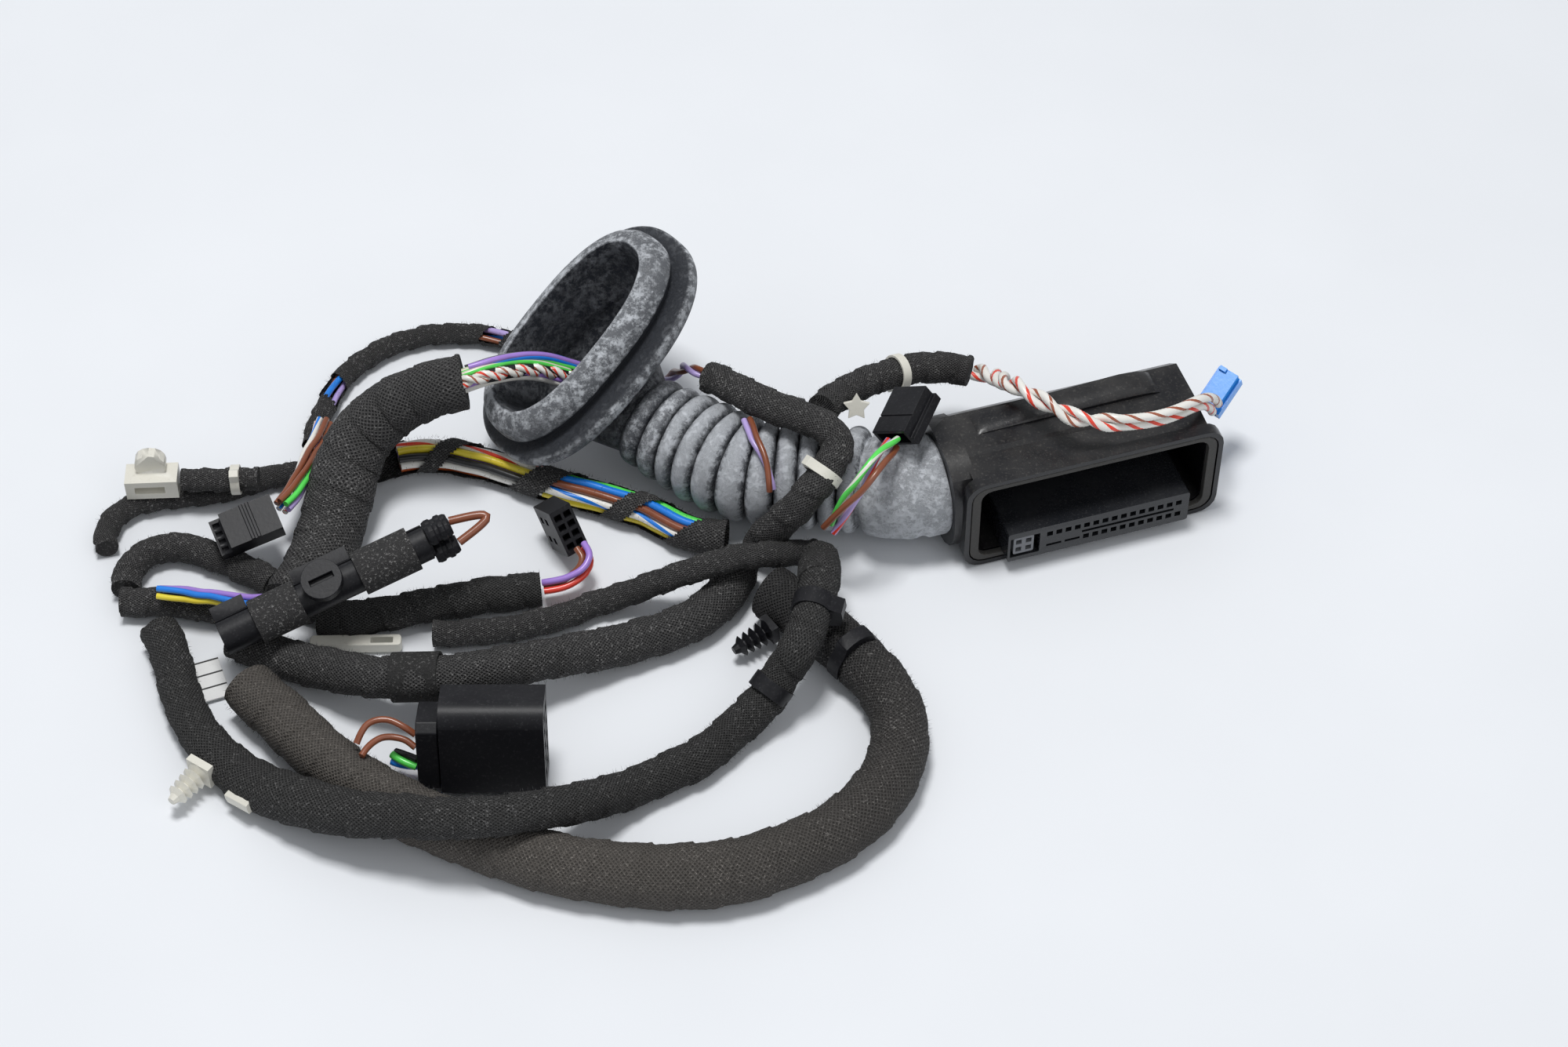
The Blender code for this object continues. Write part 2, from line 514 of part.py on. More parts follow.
def oval(half_long, half_short, power, segments):
    """A superellipse: power 2 is an ellipse, and more squares its shoulders."""
    outline = []
    for step in range(segments):
        angle = 2.0 * math.pi * step / segments
        c, s = math.cos(angle), math.sin(angle)
        size = (abs(c) ** power + abs(s) ** power) ** (-1.0 / power)
        outline.append((half_long * size * c, half_short * size * s))
    return outline


def ring(outer, inner, low, high):
    """A closed band between two outlines of equal point count, along z."""
    loops = [
        [(u, v, low) for u, v in outer], [(u, v, high) for u, v in outer],
        [(u, v, high) for u, v in inner], [(u, v, low) for u, v in inner],
    ]
    return loft(loops, closed=True)


def catmull_rom(before, start, end, after, t):
    return 0.5 * (
        2.0 * start + (end - before) * t
        + (2.0 * before - 5.0 * start + 4.0 * end - after) * t ** 2
        + (3.0 * start - before - 3.0 * end + after) * t ** 3
    )


def smooth_route(route, steps=12):
    """A dense smooth curve through the points of a route."""
    points = [Vector(point) for point in route]
    padded = [2.0 * points[0] - points[1], *points, 2.0 * points[-1] - points[-2]]
    dense = []
    for span in range(len(points) - 1):
        for step in range(steps):
            dense.append(catmull_rom(*padded[span:span + 4], step / steps))
    return dense + [points[-1]]


def lengths_along(dense):
    lengths = [0.0]
    for first, second in zip(dense, dense[1:]):
        lengths.append(lengths[-1] + (second - first).length)
    return lengths


def point_at(dense, lengths, distance):
    """The point and the direction at a distance along a dense curve."""
    distance = min(max(distance, 0.0), lengths[-1])
    span = 1
    while span < len(lengths) - 1 and lengths[span] < distance:
        span += 1
    first, second = dense[span - 1], dense[span]
    share = (distance - lengths[span - 1]) / (lengths[span] - lengths[span - 1])
    return first.lerp(second, share), (second - first).normalized()


def spaced_points(route, diameter):
    """Points along a route's smooth curve, with a short piece at each end so that its cap is square."""
    dense = smooth_route(route)
    lengths = lengths_along(dense)
    total = lengths[-1]
    end = END_PIECE * diameter
    count = max(2, round((total - 2.0 * end) / (POINT_SPACING * diameter)))
    inner = [end + (total - 2.0 * end) * step / count for step in range(count + 1)]
    return [point_at(dense, lengths, distance)[0] for distance in [0.0, *inner, total]]


def bevel_steps(diameter):
    if diameter < 4.0:
        return 2
    return 3 if diameter < 8.0 else 4


def tube(name, route, diameter, look, frame):
    """A bundle or wire: a round curve through evenly spaced points of its smooth route."""
    points = spaced_points(route, diameter)
    curve = bpy.data.curves.new(name, "CURVE")
    curve.dimensions = "3D"
    curve.bevel_depth = diameter / 2.0 * MM
    curve.bevel_resolution = bevel_steps(diameter)
    curve.use_fill_caps = True
    spline = curve.splines.new("POLY")
    spline.points.add(len(points) - 1)
    for target, point in zip(spline.points, points):
        target.co = (*(point * MM), 1.0)
    return add_object(name, curve, look, frame)


def segment_placement(route, diameter, share):
    """A placement at the middle of one straight piece of a tube: z along it, y as upright as it can be."""
    points = spaced_points(route, diameter)
    piece = min(len(points) - 2, int(share * (len(points) - 1)))
    first, second = points[piece], points[piece + 1]
    direction = (second - first).normalized()
    side = Vector((0.0, 0.0, 1.0)).cross(direction).normalized()
    return frame_matrix((first + second) / 2.0, side, direction.cross(side))


def shell_placement():
    return frame_matrix(SHELL_ORIGIN, SHELL_AXIS, (-SHELL_AXIS[1], SHELL_AXIS[0], 0.0))


def shell_point(x, y, z):
    """A point of the shell's frame in the harness frame."""
    return tuple(shell_placement() @ Vector((x, y, z)))


def build_connector_shell(shell):
    left = RIM_OVERHANG
    right = RIM_LENGTH - RIM_OVERHANG
    bottom = RIM_STEP
    top = RIM_HEIGHT - RIM_STEP
    back = SHELL_DEPTH
    side_profile = [
        (RIM_DEPTH / 2.0, bottom), (back - SHELL_CHAMFER, bottom), (back, bottom + SHELL_CHAMFER),
        (back, top - 4.0 * SHELL_CHAMFER), (back - SHELL_CHAMFER, top - 2.0 * SHELL_WALL),
        (back - 2.6 * SHELL_CHAMFER, top + SHELL_SHOULDER), (HUMP_FRONT, top + SHELL_SHOULDER),
        (HUMP_FRONT - SHELL_WALL, top + SHELL_SHOULDER / 2.0), (RIM_DEPTH / 2.0, top),
    ]
    obj = add_mesh("connector_shell", along_x(side_profile, left, right), BLACK_PLASTIC, shell)
    rim = rounded_rect(0.0, RIM_LENGTH, 0.0, RIM_HEIGHT, RIM_CORNER)
    combine(obj, "UNION", "shell_rim", along_y(rim, 0.0, RIM_DEPTH), shell)
    combine(obj, "UNION", "shell_hump", hump_shape(top + SHELL_SHOULDER), shell)
    collar = rounded_rect(
        COLLAR_Y - COLLAR_BORE - COLLAR_WALL, COLLAR_Y + COLLAR_BORE + COLLAR_WALL,
        COLLAR_Z - COLLAR_BORE - COLLAR_WALL, COLLAR_Z + COLLAR_BORE + COLLAR_WALL,
        COLLAR_BORE - COLLAR_WALL,
    )
    collar_start = left - COLLAR_LENGTH
    combine(obj, "UNION", "shell_collar", along_x(collar, collar_start, left + SHELL_WALL), shell)
    combine(obj, "UNION", "shell_latch", latch_shape(), shell)
    combine(obj, "DIFFERENCE", "shell_cavity", cavity_shape(), shell)
    recess = rounded_rect(
        SEAL_INSET, RIM_LENGTH - SEAL_INSET, SEAL_INSET, RIM_HEIGHT - SEAL_INSET,
        RIM_CORNER - SEAL_INSET / 2.0,
    )
    combine(obj, "DIFFERENCE", "seal_recess", along_y(recess, -1.0, SEAL_DEPTH), shell)
    bore = circle(COLLAR_BORE, 32, (COLLAR_Y, COLLAR_Z))
    bore_end = left + SHELL_WALL + 1.0
    combine(obj, "DIFFERENCE", "collar_bore", along_x(bore, collar_start - 1.0, bore_end), shell)
    return obj


def hump_shape(base):
    """The raised back of the shell's top, which climbs to the right and ends in a round."""
    loops = []
    length = HUMP_END - HUMP_START
    front = HUMP_FRONT + 5.0
    back = SHELL_DEPTH - SHELL_CHAMFER - HUMP_SETBACK
    sections = ((0.0, 0.0), (0.02, 0.7), (0.06, 1.0), (0.82, 1.0), (0.9, 0.9), (0.96, 0.62), (1.0, 0.1))
    for share, size in sections:
        rise = size * (HUMP_LOW + (HUMP_HIGH - HUMP_LOW) * min(1.0, share / 0.82)) + 0.05
        profile = [
            (front, base - 1.0), (front, base + 0.3 * rise), (front + 1.5, base + 0.8 * rise),
            (front + 4.0, base + rise), (back - 3.5, base + 0.85 * rise), (back - 1.8, base - 1.0),
        ]
        x = HUMP_START + length * share
        loops.append([(x, y, z) for y, z in profile])
    return loft(loops)


def latch_shape():
    """The catch on the end wall, just behind the rim."""
    front = RIM_DEPTH + 0.5
    return box(
        (RIM_OVERHANG - LATCH_DEPTH, front, LATCH_LIFT),
        (RIM_OVERHANG + SHELL_WALL / 2.0, front + LATCH_WIDTH, LATCH_LIFT + LATCH_HEIGHT),
    )


def cavity_shape():
    """The mouth: a deep pocket whose ceiling keeps four small guide ribs."""
    left = RIM_OVERHANG + SHELL_WALL
    right = RIM_LENGTH - left
    bottom = RIM_STEP + SHELL_WALL
    top = RIM_HEIGHT - bottom
    outline = rounded_rect(left, right, bottom, top, CAVITY_CORNER)
    steps_per_corner = len(outline) // 4
    ribbed = outline[:steps_per_corner]
    for rib in sorted(CEILING_RIBS, reverse=True):
        ribbed += [
            (rib + CEILING_RIB, top), (rib + CEILING_RIB, top - CEILING_RIB),
            (rib, top - CEILING_RIB), (rib, top),
        ]
    ribbed += outline[steps_per_corner:]
    return along_y(ribbed, -1.0, CAVITY_DEPTH)


def build_mouth_seal(shell):
    outer_edge = SEAL_INSET + SEAT_GAP
    inner_edge = RIM_OVERHANG + SHELL_WALL
    outer = rounded_rect(
        outer_edge, RIM_LENGTH - outer_edge, outer_edge, RIM_HEIGHT - outer_edge,
        RIM_CORNER - SEAL_INSET / 2.0 - SEAT_GAP,
    )
    inner_bottom = RIM_STEP + SHELL_WALL
    inner = rounded_rect(
        inner_edge, RIM_LENGTH - inner_edge, inner_bottom, RIM_HEIGHT - inner_bottom, CAVITY_CORNER,
    )
    loops = []
    front, back = 0.1, SEAL_DEPTH - SEAT_GAP
    for outline, y in ((outer, front), (outer, back), (inner, back), (inner, front)):
        loops.append([(x, y, z) for x, z in outline])
    return add_mesh("mouth_seal", loft(loops, closed=True), SEAL_RUBBER, shell)


def insert_floor():
    return RIM_STEP + SHELL_WALL + SEAT_GAP


def build_contact_insert(shell):
    floor = insert_floor()
    left = INSERT_START
    right = left + INSERT_LENGTH
    top = floor + INSERT_HEIGHT
    front = -INSERT_REACH
    back = INSERT_DEPTH
    body = rounded_rect(left, right, floor, top, 0.6, steps=2)
    obj = add_mesh("contact_insert", along_y(body, front, back), BLACK_PLASTIC, shell)
    pockets = []
    half = CONTACT_CAVITY / 2.0
    for column in range(CONTACT_COLUMNS):
        x = left + CONTACT_START + CONTACT_PITCH * column
        pockets.append(pocket(x, floor + CONTACT_ROW_HIGH, half, front))
        if column >= 4:
            pockets.append(pocket(x, floor + CONTACT_ROW_LOW, half, front))
    for slot in (0, 2):
        start = left + CONTACT_START - half + CONTACT_PITCH * slot
        end = start + CONTACT_PITCH + CONTACT_CAVITY
        low = floor + CONTACT_ROW_LOW - half / 2.0
        pockets.append(box((start, front - 1.0, low), (end, front + CONTACT_DEPTH, low + half)))
    middle = floor + (CONTACT_ROW_LOW + CONTACT_ROW_HIGH) / 2.0
    start = left + CONTACT_START + CONTACT_PITCH * 3.5
    end = left + CONTACT_START + CONTACT_PITCH * (CONTACT_COLUMNS - 1.5)
    low = middle - DIVIDER_HEIGHT / 2.0
    pockets.append(box((start, front - 1.0, low), (end, front + CONTACT_DEPTH, low + DIVIDER_HEIGHT)))
    combine(obj, "DIFFERENCE", "contact_cavities", join(pockets), shell)
    bay = box(
        (left + MODULE_START - 3.0 * SEAT_GAP, front - 1.0, floor + MODULE_LIFT - 2.0 * SEAT_GAP),
        (left + MODULE_START + MODULE_LENGTH + 5.0 * SEAT_GAP, front + MODULE_DEPTH + SEAT_GAP,
         floor + MODULE_LIFT + MODULE_HEIGHT + SEAT_GAP),
    )
    combine(obj, "DIFFERENCE", "module_bay", bay, shell)
    return obj


def pocket(x, z, half, front):
    return box((x - half, front - 1.0, z - half), (x + half, front + CONTACT_DEPTH, z + half))


def build_pin_module(shell):
    """The separate four-way block that sits in the bay at the insert's left end."""
    left = INSERT_START + MODULE_START
    bottom = insert_floor() + MODULE_LIFT
    front = -INSERT_REACH + SEAT_GAP
    outline = rounded_rect(left, left + MODULE_LENGTH, bottom, bottom + MODULE_HEIGHT, 0.5, steps=2)
    back = -INSERT_REACH + MODULE_DEPTH
    obj = add_mesh("pin_module", along_y(outline, front, back), GREY_PLASTIC, shell)
    pockets = []
    half = MODULE_HOLE / 2.0
    for column in (-0.5, 0.5):
        for row in (-0.5, 0.5):
            x = left + MODULE_LENGTH / 2.0 + column * MODULE_PITCH
            z = bottom + MODULE_HEIGHT / 2.0 + row * MODULE_PITCH
            pockets.append(box((x - half, front - 1.0, z - half), (x + half, front + 2.5, z + half)))
    combine(obj, "DIFFERENCE", "module_holes", join(pockets), shell)
    return obj


def mouth_axes():
    long_axis = Vector(MOUTH_LONG_AXIS).normalized()
    short_axis = long_axis.cross(Vector(MOUTH_NORMAL)).normalized()
    return long_axis, short_axis, short_axis.cross(long_axis)


def mouth_loop(rise, half_long, half_short):
    """One oval row of the grommet, at a height above the flange along the mouth's normal."""
    long_axis, short_axis, normal = mouth_axes()
    centre = Vector(FLANGE_CENTRE) + normal * rise
    outline = oval(half_long, half_short, MOUTH_POWER, GROMMET_SEGMENTS)
    return [centre + long_axis * u + short_axis * v for u, v in outline]


def elbow_loop(section, wall):
    """One row of the elbow under the flange, drawn in by a wall thickness."""
    near, far, half_long, shift = section
    long_axis, short_axis, normal = mouth_axes()
    middle = [(near[axis] + far[axis]) / 2.0 for axis in (0, 1)]
    reach = Vector((near[0] - far[0], near[1] - far[1]))
    half_short = reach.length / 2.0 - wall
    across = (short_axis * reach[0] + normal * reach[1]).normalized()
    centre = Vector(FLANGE_CENTRE) + long_axis * shift + short_axis * middle[0] + normal * middle[1]
    outline = oval(half_long - wall, half_short, NECK_POWER, GROMMET_SEGMENTS)
    return [centre + long_axis * u + across * v for u, v in outline]


def bellows_route():
    """The bellows' middle line, which ends square in the shell's collar."""
    face = RIM_OVERHANG - COLLAR_LENGTH
    ends = [shell_point(face + step, COLLAR_Y, COLLAR_Z) for step in (-4.5, 0.0, BOOT_INSERTION)]
    return BELLOWS_ROUTE + ends


def bellows_profile(total):
    """Distances along the route with the outer radius there, from the flange to the collar."""
    rows = []
    for index in range(BELLOWS_RINGS):
        start = index * BELLOWS_PITCH
        growth = min(1.0, 0.45 + 0.2 * index)
        crest = BELLOWS_ROOT + (BELLOWS_CREST - BELLOWS_ROOT) * growth
        rows += [
            (start, BELLOWS_ROOT), (start + 0.2 * BELLOWS_PITCH, 0.25 * BELLOWS_ROOT + 0.75 * crest),
            (start + 0.5 * BELLOWS_PITCH, crest),
            (start + 0.8 * BELLOWS_PITCH, 0.25 * BELLOWS_ROOT + 0.75 * crest),
        ]
    rings_end = BELLOWS_RINGS * BELLOWS_PITCH
    face = total - BOOT_INSERTION - SEAT_GAP
    boot_end = face - BOOT_LIP_LENGTH
    boot_start = max(rings_end + 0.8, boot_end - BOOT_LENGTH)
    rows += [
        (rings_end, BELLOWS_ROOT), (boot_start, BELLOWS_ROOT + 0.4), (boot_start + 1.0, BOOT_RADIUS - 0.5),
        (boot_start + 2.5, BOOT_RADIUS), (boot_end - 2.0, BOOT_RADIUS - 0.1),
        (boot_end - 0.8, BOOT_RADIUS - 0.5),
        (boot_end, BOOT_GROOVE), (boot_end + 0.8, BOOT_LIP_RADIUS), (face - 0.6, BOOT_LIP_RADIUS),
        (face, BOOT_LIP_RADIUS - 0.5), (face + 0.2, COLLAR_BORE - SEAT_GAP), (total, COLLAR_BORE - SEAT_GAP),
    ]
    return rows


def grommet_loops():
    """Rows of the grommet's skin: in along the outside to the mouth, and back out along the inside."""
    route = smooth_route(bellows_route())
    lengths = lengths_along(route)
    side = mouth_axes()[0]
    outline = circle(1.0, GROMMET_SEGMENTS)
    outside, inside = [], []
    for row, (distance, radius) in enumerate(bellows_profile(lengths[-1])):
        centre, direction = point_at(route, lengths, distance)
        side = (side - direction * side.dot(direction)).normalized()
        other = direction.cross(side)
        outside.append([centre + (side * u + other * v) * radius for u, v in outline])
        if row % 2 == 0 or row > 4 * BELLOWS_RINGS:
            inner = radius - BELLOWS_WALL
            inside.append([centre + (side * u + other * v) * inner for u, v in outline])
    mouth = [
        mouth_loop(-3.0, FLANGE_LONG - 1.5, FLANGE_SHORT - 1.5),
        mouth_loop(-1.0, FLANGE_LONG, FLANGE_SHORT),
        mouth_loop(FLANGE_DEPTH - 3.0, FLANGE_LONG - 0.5, FLANGE_SHORT - 0.5),
        mouth_loop(FLANGE_DEPTH - 2.5, GROOVE_LONG, GROOVE_SHORT),
        mouth_loop(FLANGE_DEPTH - 0.8, GROOVE_LONG, GROOVE_SHORT),
        mouth_loop(FLANGE_DEPTH, BAND_LONG, BAND_SHORT),
        mouth_loop(MOUTH_RISE - 1.5, RIM_LONG + 1.0, RIM_SHORT + 1.0),
        mouth_loop(MOUTH_RISE, RIM_LONG, RIM_SHORT),
        mouth_loop(MOUTH_RISE, RIM_LONG - MOUTH_WALL, RIM_SHORT - MOUTH_WALL),
        mouth_loop(FLANGE_DEPTH, RIM_LONG - MOUTH_WALL - 1.5, RIM_SHORT - MOUTH_WALL),
    ]
    elbow = [elbow_loop(section, 0.0) for section in ELBOW_SECTIONS]
    lining = [elbow_loop(section, NECK_WALL) for section in ELBOW_SECTIONS]
    return outside[::-1] + elbow[::-1] + mouth + lining + inside


def build_door_grommet(harness):
    return add_mesh("door_grommet", loft(grommet_loops(), closed=True), RUBBER, harness, 50.0)


def build_inner_bundle(harness):
    """The wires inside the grommet, from the trunk's end to the insert."""
    entry = [
        shell_point(x, COLLAR_Y, COLLAR_Z)
        for x in (RIM_OVERHANG - COLLAR_LENGTH, INSERT_START - BUTT_GAP)
    ]
    route = INNER_BUNDLE + BELLOWS_ROUTE + entry
    return tube("inner_bundle", route, INNER_BUNDLE_DIAMETER, WHITE_WIRE, harness)


def build_three_way(harness):
    width, length, height = THREE_WAY_SIZE
    frame = make_frame("three_way_frame", frame_matrix(*THREE_WAY_PLACE), harness)
    side, front = width / 2.0, -length / 2.0
    ledge = -0.55 * height
    outline = [
        (-side, -height), (side, -height), (side, ledge), (side - THREE_WAY_STEP, ledge),
        (side - THREE_WAY_STEP, 0.0), (-side, 0.0),
    ]
    obj = add_mesh("three_way_connector", along_y(outline, front, -front), GREY_PLASTIC, frame)
    skirt = box(
        (-side + THREE_WAY_WALL, front - 1.0, -height + THREE_WAY_WALL),
        (side - THREE_WAY_STEP - THREE_WAY_WALL, front + 0.3 * length, -THREE_WAY_WALL),
    )
    combine(obj, "DIFFERENCE", "three_way_skirt", skirt, frame)
    line = front + 0.34 * length
    groove = box((-side - 1.0, line, -0.3), (side + 1.0, line + 0.4, 1.0))
    combine(obj, "DIFFERENCE", "three_way_line", groove, frame)
    return obj


def build_five_way(harness):
    """A flat connector with a row of teeth on the ledge at its left end and two ribs across it."""
    length, width, height = FIVE_WAY_SIZE
    frame = make_frame("five_way_frame", frame_matrix(*FIVE_WAY_PLACE), harness)
    end = length / 2.0
    ledge = -0.45 * height
    outline = [
        (-end - FIVE_WAY_LEDGE, -height), (end, -height), (end, 0.0),
        (1.2, 0.0), (1.0, 0.5), (0.4, 0.5), (0.2, 0.0), (-0.4, 0.0), (-0.6, 0.5), (-1.2, 0.5),
        (-1.4, 0.0), (-end, 0.0), (-end, ledge), (-end - FIVE_WAY_LEDGE, ledge),
    ]
    obj = add_mesh("five_way_connector", along_y(outline, -width / 2.0, width / 2.0), BLACK_PLASTIC, frame)
    pitch = 0.9 * width / FIVE_WAY_TEETH
    low = (-end - 0.8 * FIVE_WAY_LEDGE, -0.3 * pitch, 1.4 * ledge)
    high = (-end - 0.2 * FIVE_WAY_LEDGE, 0.3 * pitch, 1.0)
    pockets = []
    for step in range(FIVE_WAY_TEETH):
        y = (step - (FIVE_WAY_TEETH - 1) / 2.0) * pitch
        pockets.append(box((low[0], y + low[1], low[2]), (high[0], y + high[1], high[2])))
    combine(obj, "DIFFERENCE", "five_way_row", join(pockets), frame)
    return obj


def build_four_way(harness):
    """A block with two rows of four cavities in its face and four windows down its side."""
    width, depth, height = FOUR_WAY_SIZE
    wide, tall, deep = FOUR_WAY_CAVITY
    frame = make_frame("four_way_frame", frame_matrix(*FOUR_WAY_PLACE), harness)
    body = box((0.0, 0.0, -height / 2.0), (width, depth, height / 2.0))
    obj = add_mesh("four_way_connector", body, BLACK_PLASTIC, frame)
    pockets = []
    for x in (0.28 * width, 0.72 * width):
        for row in range(4):
            z = height * (row - 1.5) / 4.6
            low = (x - wide / 2.0, -1.0, z - tall / 2.0)
            pockets.append(box(low, (x + wide / 2.0, deep, z + tall / 2.0)))
    combine(obj, "DIFFERENCE", "four_way_cavities", join(pockets), frame)
    windows = []
    for y in (0.4 * depth, 0.7 * depth):
        for z in (-0.22 * height, 0.22 * height):
            windows.append(box((-1.0, y, z - tall / 2.0), (tall / 2.0, y + tall, z + tall / 2.0)))
    combine(obj, "DIFFERENCE", "four_way_windows", join(windows), frame)
    return obj


def build_blue_connector(harness):
    width, length, height = BLUE_SIZE
    frame = make_frame("blue_frame", frame_matrix(*BLUE_PLACE), harness)
    side, end = width / 2.0, length / 2.0
    outline = [
        (-side, 0.0), (side, 0.0), (side, 0.6 * height), (side - BLUE_STEP, 0.6 * height),
        (side - BLUE_STEP, height), (-side + BLUE_STEP, height), (-side + BLUE_STEP, 0.8 * height),
        (-side, 0.8 * height),
    ]
    obj = add_mesh("blue_connector", along_y(outline, -end, end), BLUE_PLASTIC, frame)
    tab = box(
        (-side + 0.1 * width, end - 0.1 * length, 0.9 * height),
        (-0.1 * width, end, height + BLUE_STEP),
    )
    combine(obj, "UNION", "blue_tab", tab, frame)
    low = 0.2 * height
    half = BLUE_CAVITY / 2.0
    pockets = []
    for x in (-0.24 * width, 0.24 * width):
        pockets.append(box((x - half, -end - 1.0, low), (x + half, -0.5 * end, low + BLUE_CAVITY)))
    combine(obj, "DIFFERENCE", "blue_cavities", join(pockets), frame)
    return obj


def build_large_connector(harness):
    """A connector that leans back beside the loops, with a wire cap on its left end."""
    width, depth, height = LARGE_SIZE
    frame = make_frame("large_frame", frame_matrix(*LARGE_PLACE), harness)
    profile = [(0.0, 0.0), (depth, 0.0), (depth, height)]
    for step in range(7):
        angle = math.radians(90.0 - 15.0 * step)
        reach = 1.0 - math.cos(angle), 1.0 - math.sin(angle)
        profile.append((LARGE_CORNER * reach[0], height - LARGE_CORNER * reach[1]))
    body = add_mesh("large_connector", along_x(profile, 0.0, width), BLACK_PLASTIC, frame)
    deep, wide, tall = LARGE_CAVITY
    pockets = []
    for column in range(5):
        z = height * (0.16 + 0.165 * column)
        for y in (0.3 * depth, 0.7 * depth):
            pockets.append(box(
                (width - deep, y - wide / 2.0, z - tall / 2.0), (width + 1.0, y + wide / 2.0, z + tall / 2.0),
            ))
    combine(body, "DIFFERENCE", "large_cavities", join(pockets), frame)
    inset, bevel = LARGE_CAP_INSET, LARGE_CAP_BEVEL
    top = height - LARGE_CAP_DROP
    cap_profile = [
        (inset, inset), (depth - inset, inset), (depth - inset, top),
        (inset + bevel, top), (inset, top - bevel),
    ]
    cap = along_x(cap_profile, -LARGE_CAP_WIDTH, -SEAT_GAP)
    add_mesh("large_connector_cap", cap, BLACK_PLASTIC, frame)


def holder_placement():
    start, end = Vector(HOLDER_START), Vector(HOLDER_END)
    return frame_matrix(start, end - start, HOLDER_SIDE)


def holder_length():
    return (Vector(HOLDER_END) - Vector(HOLDER_START)).length


def plug_centre(index):
    """The middle of one of the three plugs, in the plane across the holder."""
    angle = math.radians(90.0 + 120.0 * index)
    return PLUG_CIRCLE * math.cos(angle), PLUG_CIRCLE * math.sin(angle)


def build_splice_holder(frame):
    """The channel, slit along one side and closed at its left end, with a plate between the wraps."""
    middle = 45.0
    start = math.radians(middle + HOLDER_SLIT / 2.0)
    turn = math.radians(360.0 - HOLDER_SLIT)
    steps = 22
    angles = [start + turn * step / steps for step in range(steps + 1)]
    inner = HOLDER_RADIUS - HOLDER_WALL
    outline = [(HOLDER_RADIUS * math.cos(a), HOLDER_RADIUS * math.sin(a)) for a in angles]
    outline += [(inner * math.cos(a), inner * math.sin(a)) for a in reversed(angles)]
    obj = add_mesh("splice_holder", along_x(outline, 0.0, holder_length()), BLACK_PLASTIC, frame)
    root = HOLDER_RADIUS - HOLDER_WALL / 2.0
    end_wall = along_x(circle(root, steps), 0.0, HOLDER_WALL)
    combine(obj, "UNION", "holder_end", end_wall, frame)
    edge = HOLDER_RADIUS + HOLDER_PLATE_WIDTH
    half = HOLDER_PLATE_THICKNESS / 2.0
    low = 0.0
    for name, wrap_start, wrap_width in HOLDER_WRAPS:
        plate = box((low, root, -half), (wrap_start - SEAT_GAP, edge, half))
        combine(obj, "UNION", name.replace("wrap", "plate"), plate, frame)
        low = wrap_start + wrap_width + SEAT_GAP
    return obj


def build_splice_plugs(frame):
    """Three ribbed rubber plugs that close the channel's end."""
    start = holder_length() + SEAT_GAP
    neck = PLUG_RADIUS - PLUG_GROOVE
    rows = ((0.0, neck), (0.15, PLUG_RADIUS), (0.31, PLUG_RADIUS), (0.37, neck), (0.49, neck),
            (0.55, PLUG_RADIUS), (0.71, PLUG_RADIUS), (0.77, neck), (0.89, neck), (1.0, neck - PLUG_GROOVE))
    for index, look in enumerate((BLACK_PLASTIC, GREY_PLASTIC, BLACK_PLASTIC)):
        loops = []
        for share, radius in rows:
            outline = circle(radius, 12, plug_centre(index))
            loops.append([(start + PLUG_REACH * share, u, v) for u, v in outline])
        add_mesh(f"splice_plug_{index + 1}", loft(loops), look, frame)


def build_plug_wire_loop(frame):
    """The wire that leaves one plug, turns round and enters the next."""
    start = holder_length() + SEAT_GAP + PLUG_REACH + BUTT_GAP
    first, second = plug_centre(1), plug_centre(2)
    route = []
    for share in (0.0, 0.25, 0.5, 0.75, 1.0):
        reach = start + PLUG_WIRE_REACH * math.sin(math.pi * share)
        side = (share * second[0] + (1.0 - share) * first[0], share * second[1] + (1.0 - share) * first[1])
        route.append((reach, *side))
    return tube("plug_wire_loop", route, PLUG_WIRE_DIAMETER, BROWN_WIRE, frame)


def build_holder_wraps(frame):
    inner = HOLDER_RADIUS + SEAT_GAP
    for name, start, width in HOLDER_WRAPS:
        points, faces = ring(circle(inner + WRAP_THICKNESS, 20), circle(inner, 20), start, start + width)
        add_mesh(name, ([(z, x, y) for x, y, z in points], faces), DARK_TAPE, frame)


def strap(name, route, share, diameter, look, harness, turn=0.0, width=BAND_WIDTH, head=1.6):
    """A band round a bundle with a small square head on one side."""
    frame = make_frame(name + "_frame", segment_placement(route, diameter, share), harness)
    inner_radius = diameter / 2.0 + SEAT_GAP
    outer = []
    segments = 20
    for step in range(segments):
        angle = 2.0 * math.pi * step / segments
        away = abs((angle - math.radians(turn) + math.pi) % (2.0 * math.pi) - math.pi)
        radius = inner_radius + BAND_THICKNESS + (head if away < 0.4 else 0.0)
        outer.append((radius * math.cos(angle), radius * math.sin(angle)))
    shape = ring(outer, circle(inner_radius, segments), -width / 2.0, width / 2.0)
    return add_mesh(name, shape, look, frame)


def saddle(name, route, share, diameter, look, harness, start=-10.0, end=190.0, width=4.0, head=1.5):
    """An open clip that lies over a bundle, with a raised pad at the middle of its back."""
    frame = make_frame(name + "_frame", segment_placement(route, diameter, share), harness)
    inner_radius = diameter / 2.0 + SEAT_GAP
    steps = 14
    angles = [math.radians(start + (end - start) * step / steps) for step in range(steps + 1)]
    outline = []
    for step, angle in enumerate(angles):
        radius = inner_radius + BAND_THICKNESS + (head if abs(step - steps // 2) <= 2 else 0.0)
        outline.append((radius * math.cos(angle), radius * math.sin(angle)))
    for angle in reversed(angles):
        outline.append((inner_radius * math.cos(angle), inner_radius * math.sin(angle)))
    return add_mesh(name, along_z(outline, -width / 2.0, width / 2.0), look, frame)


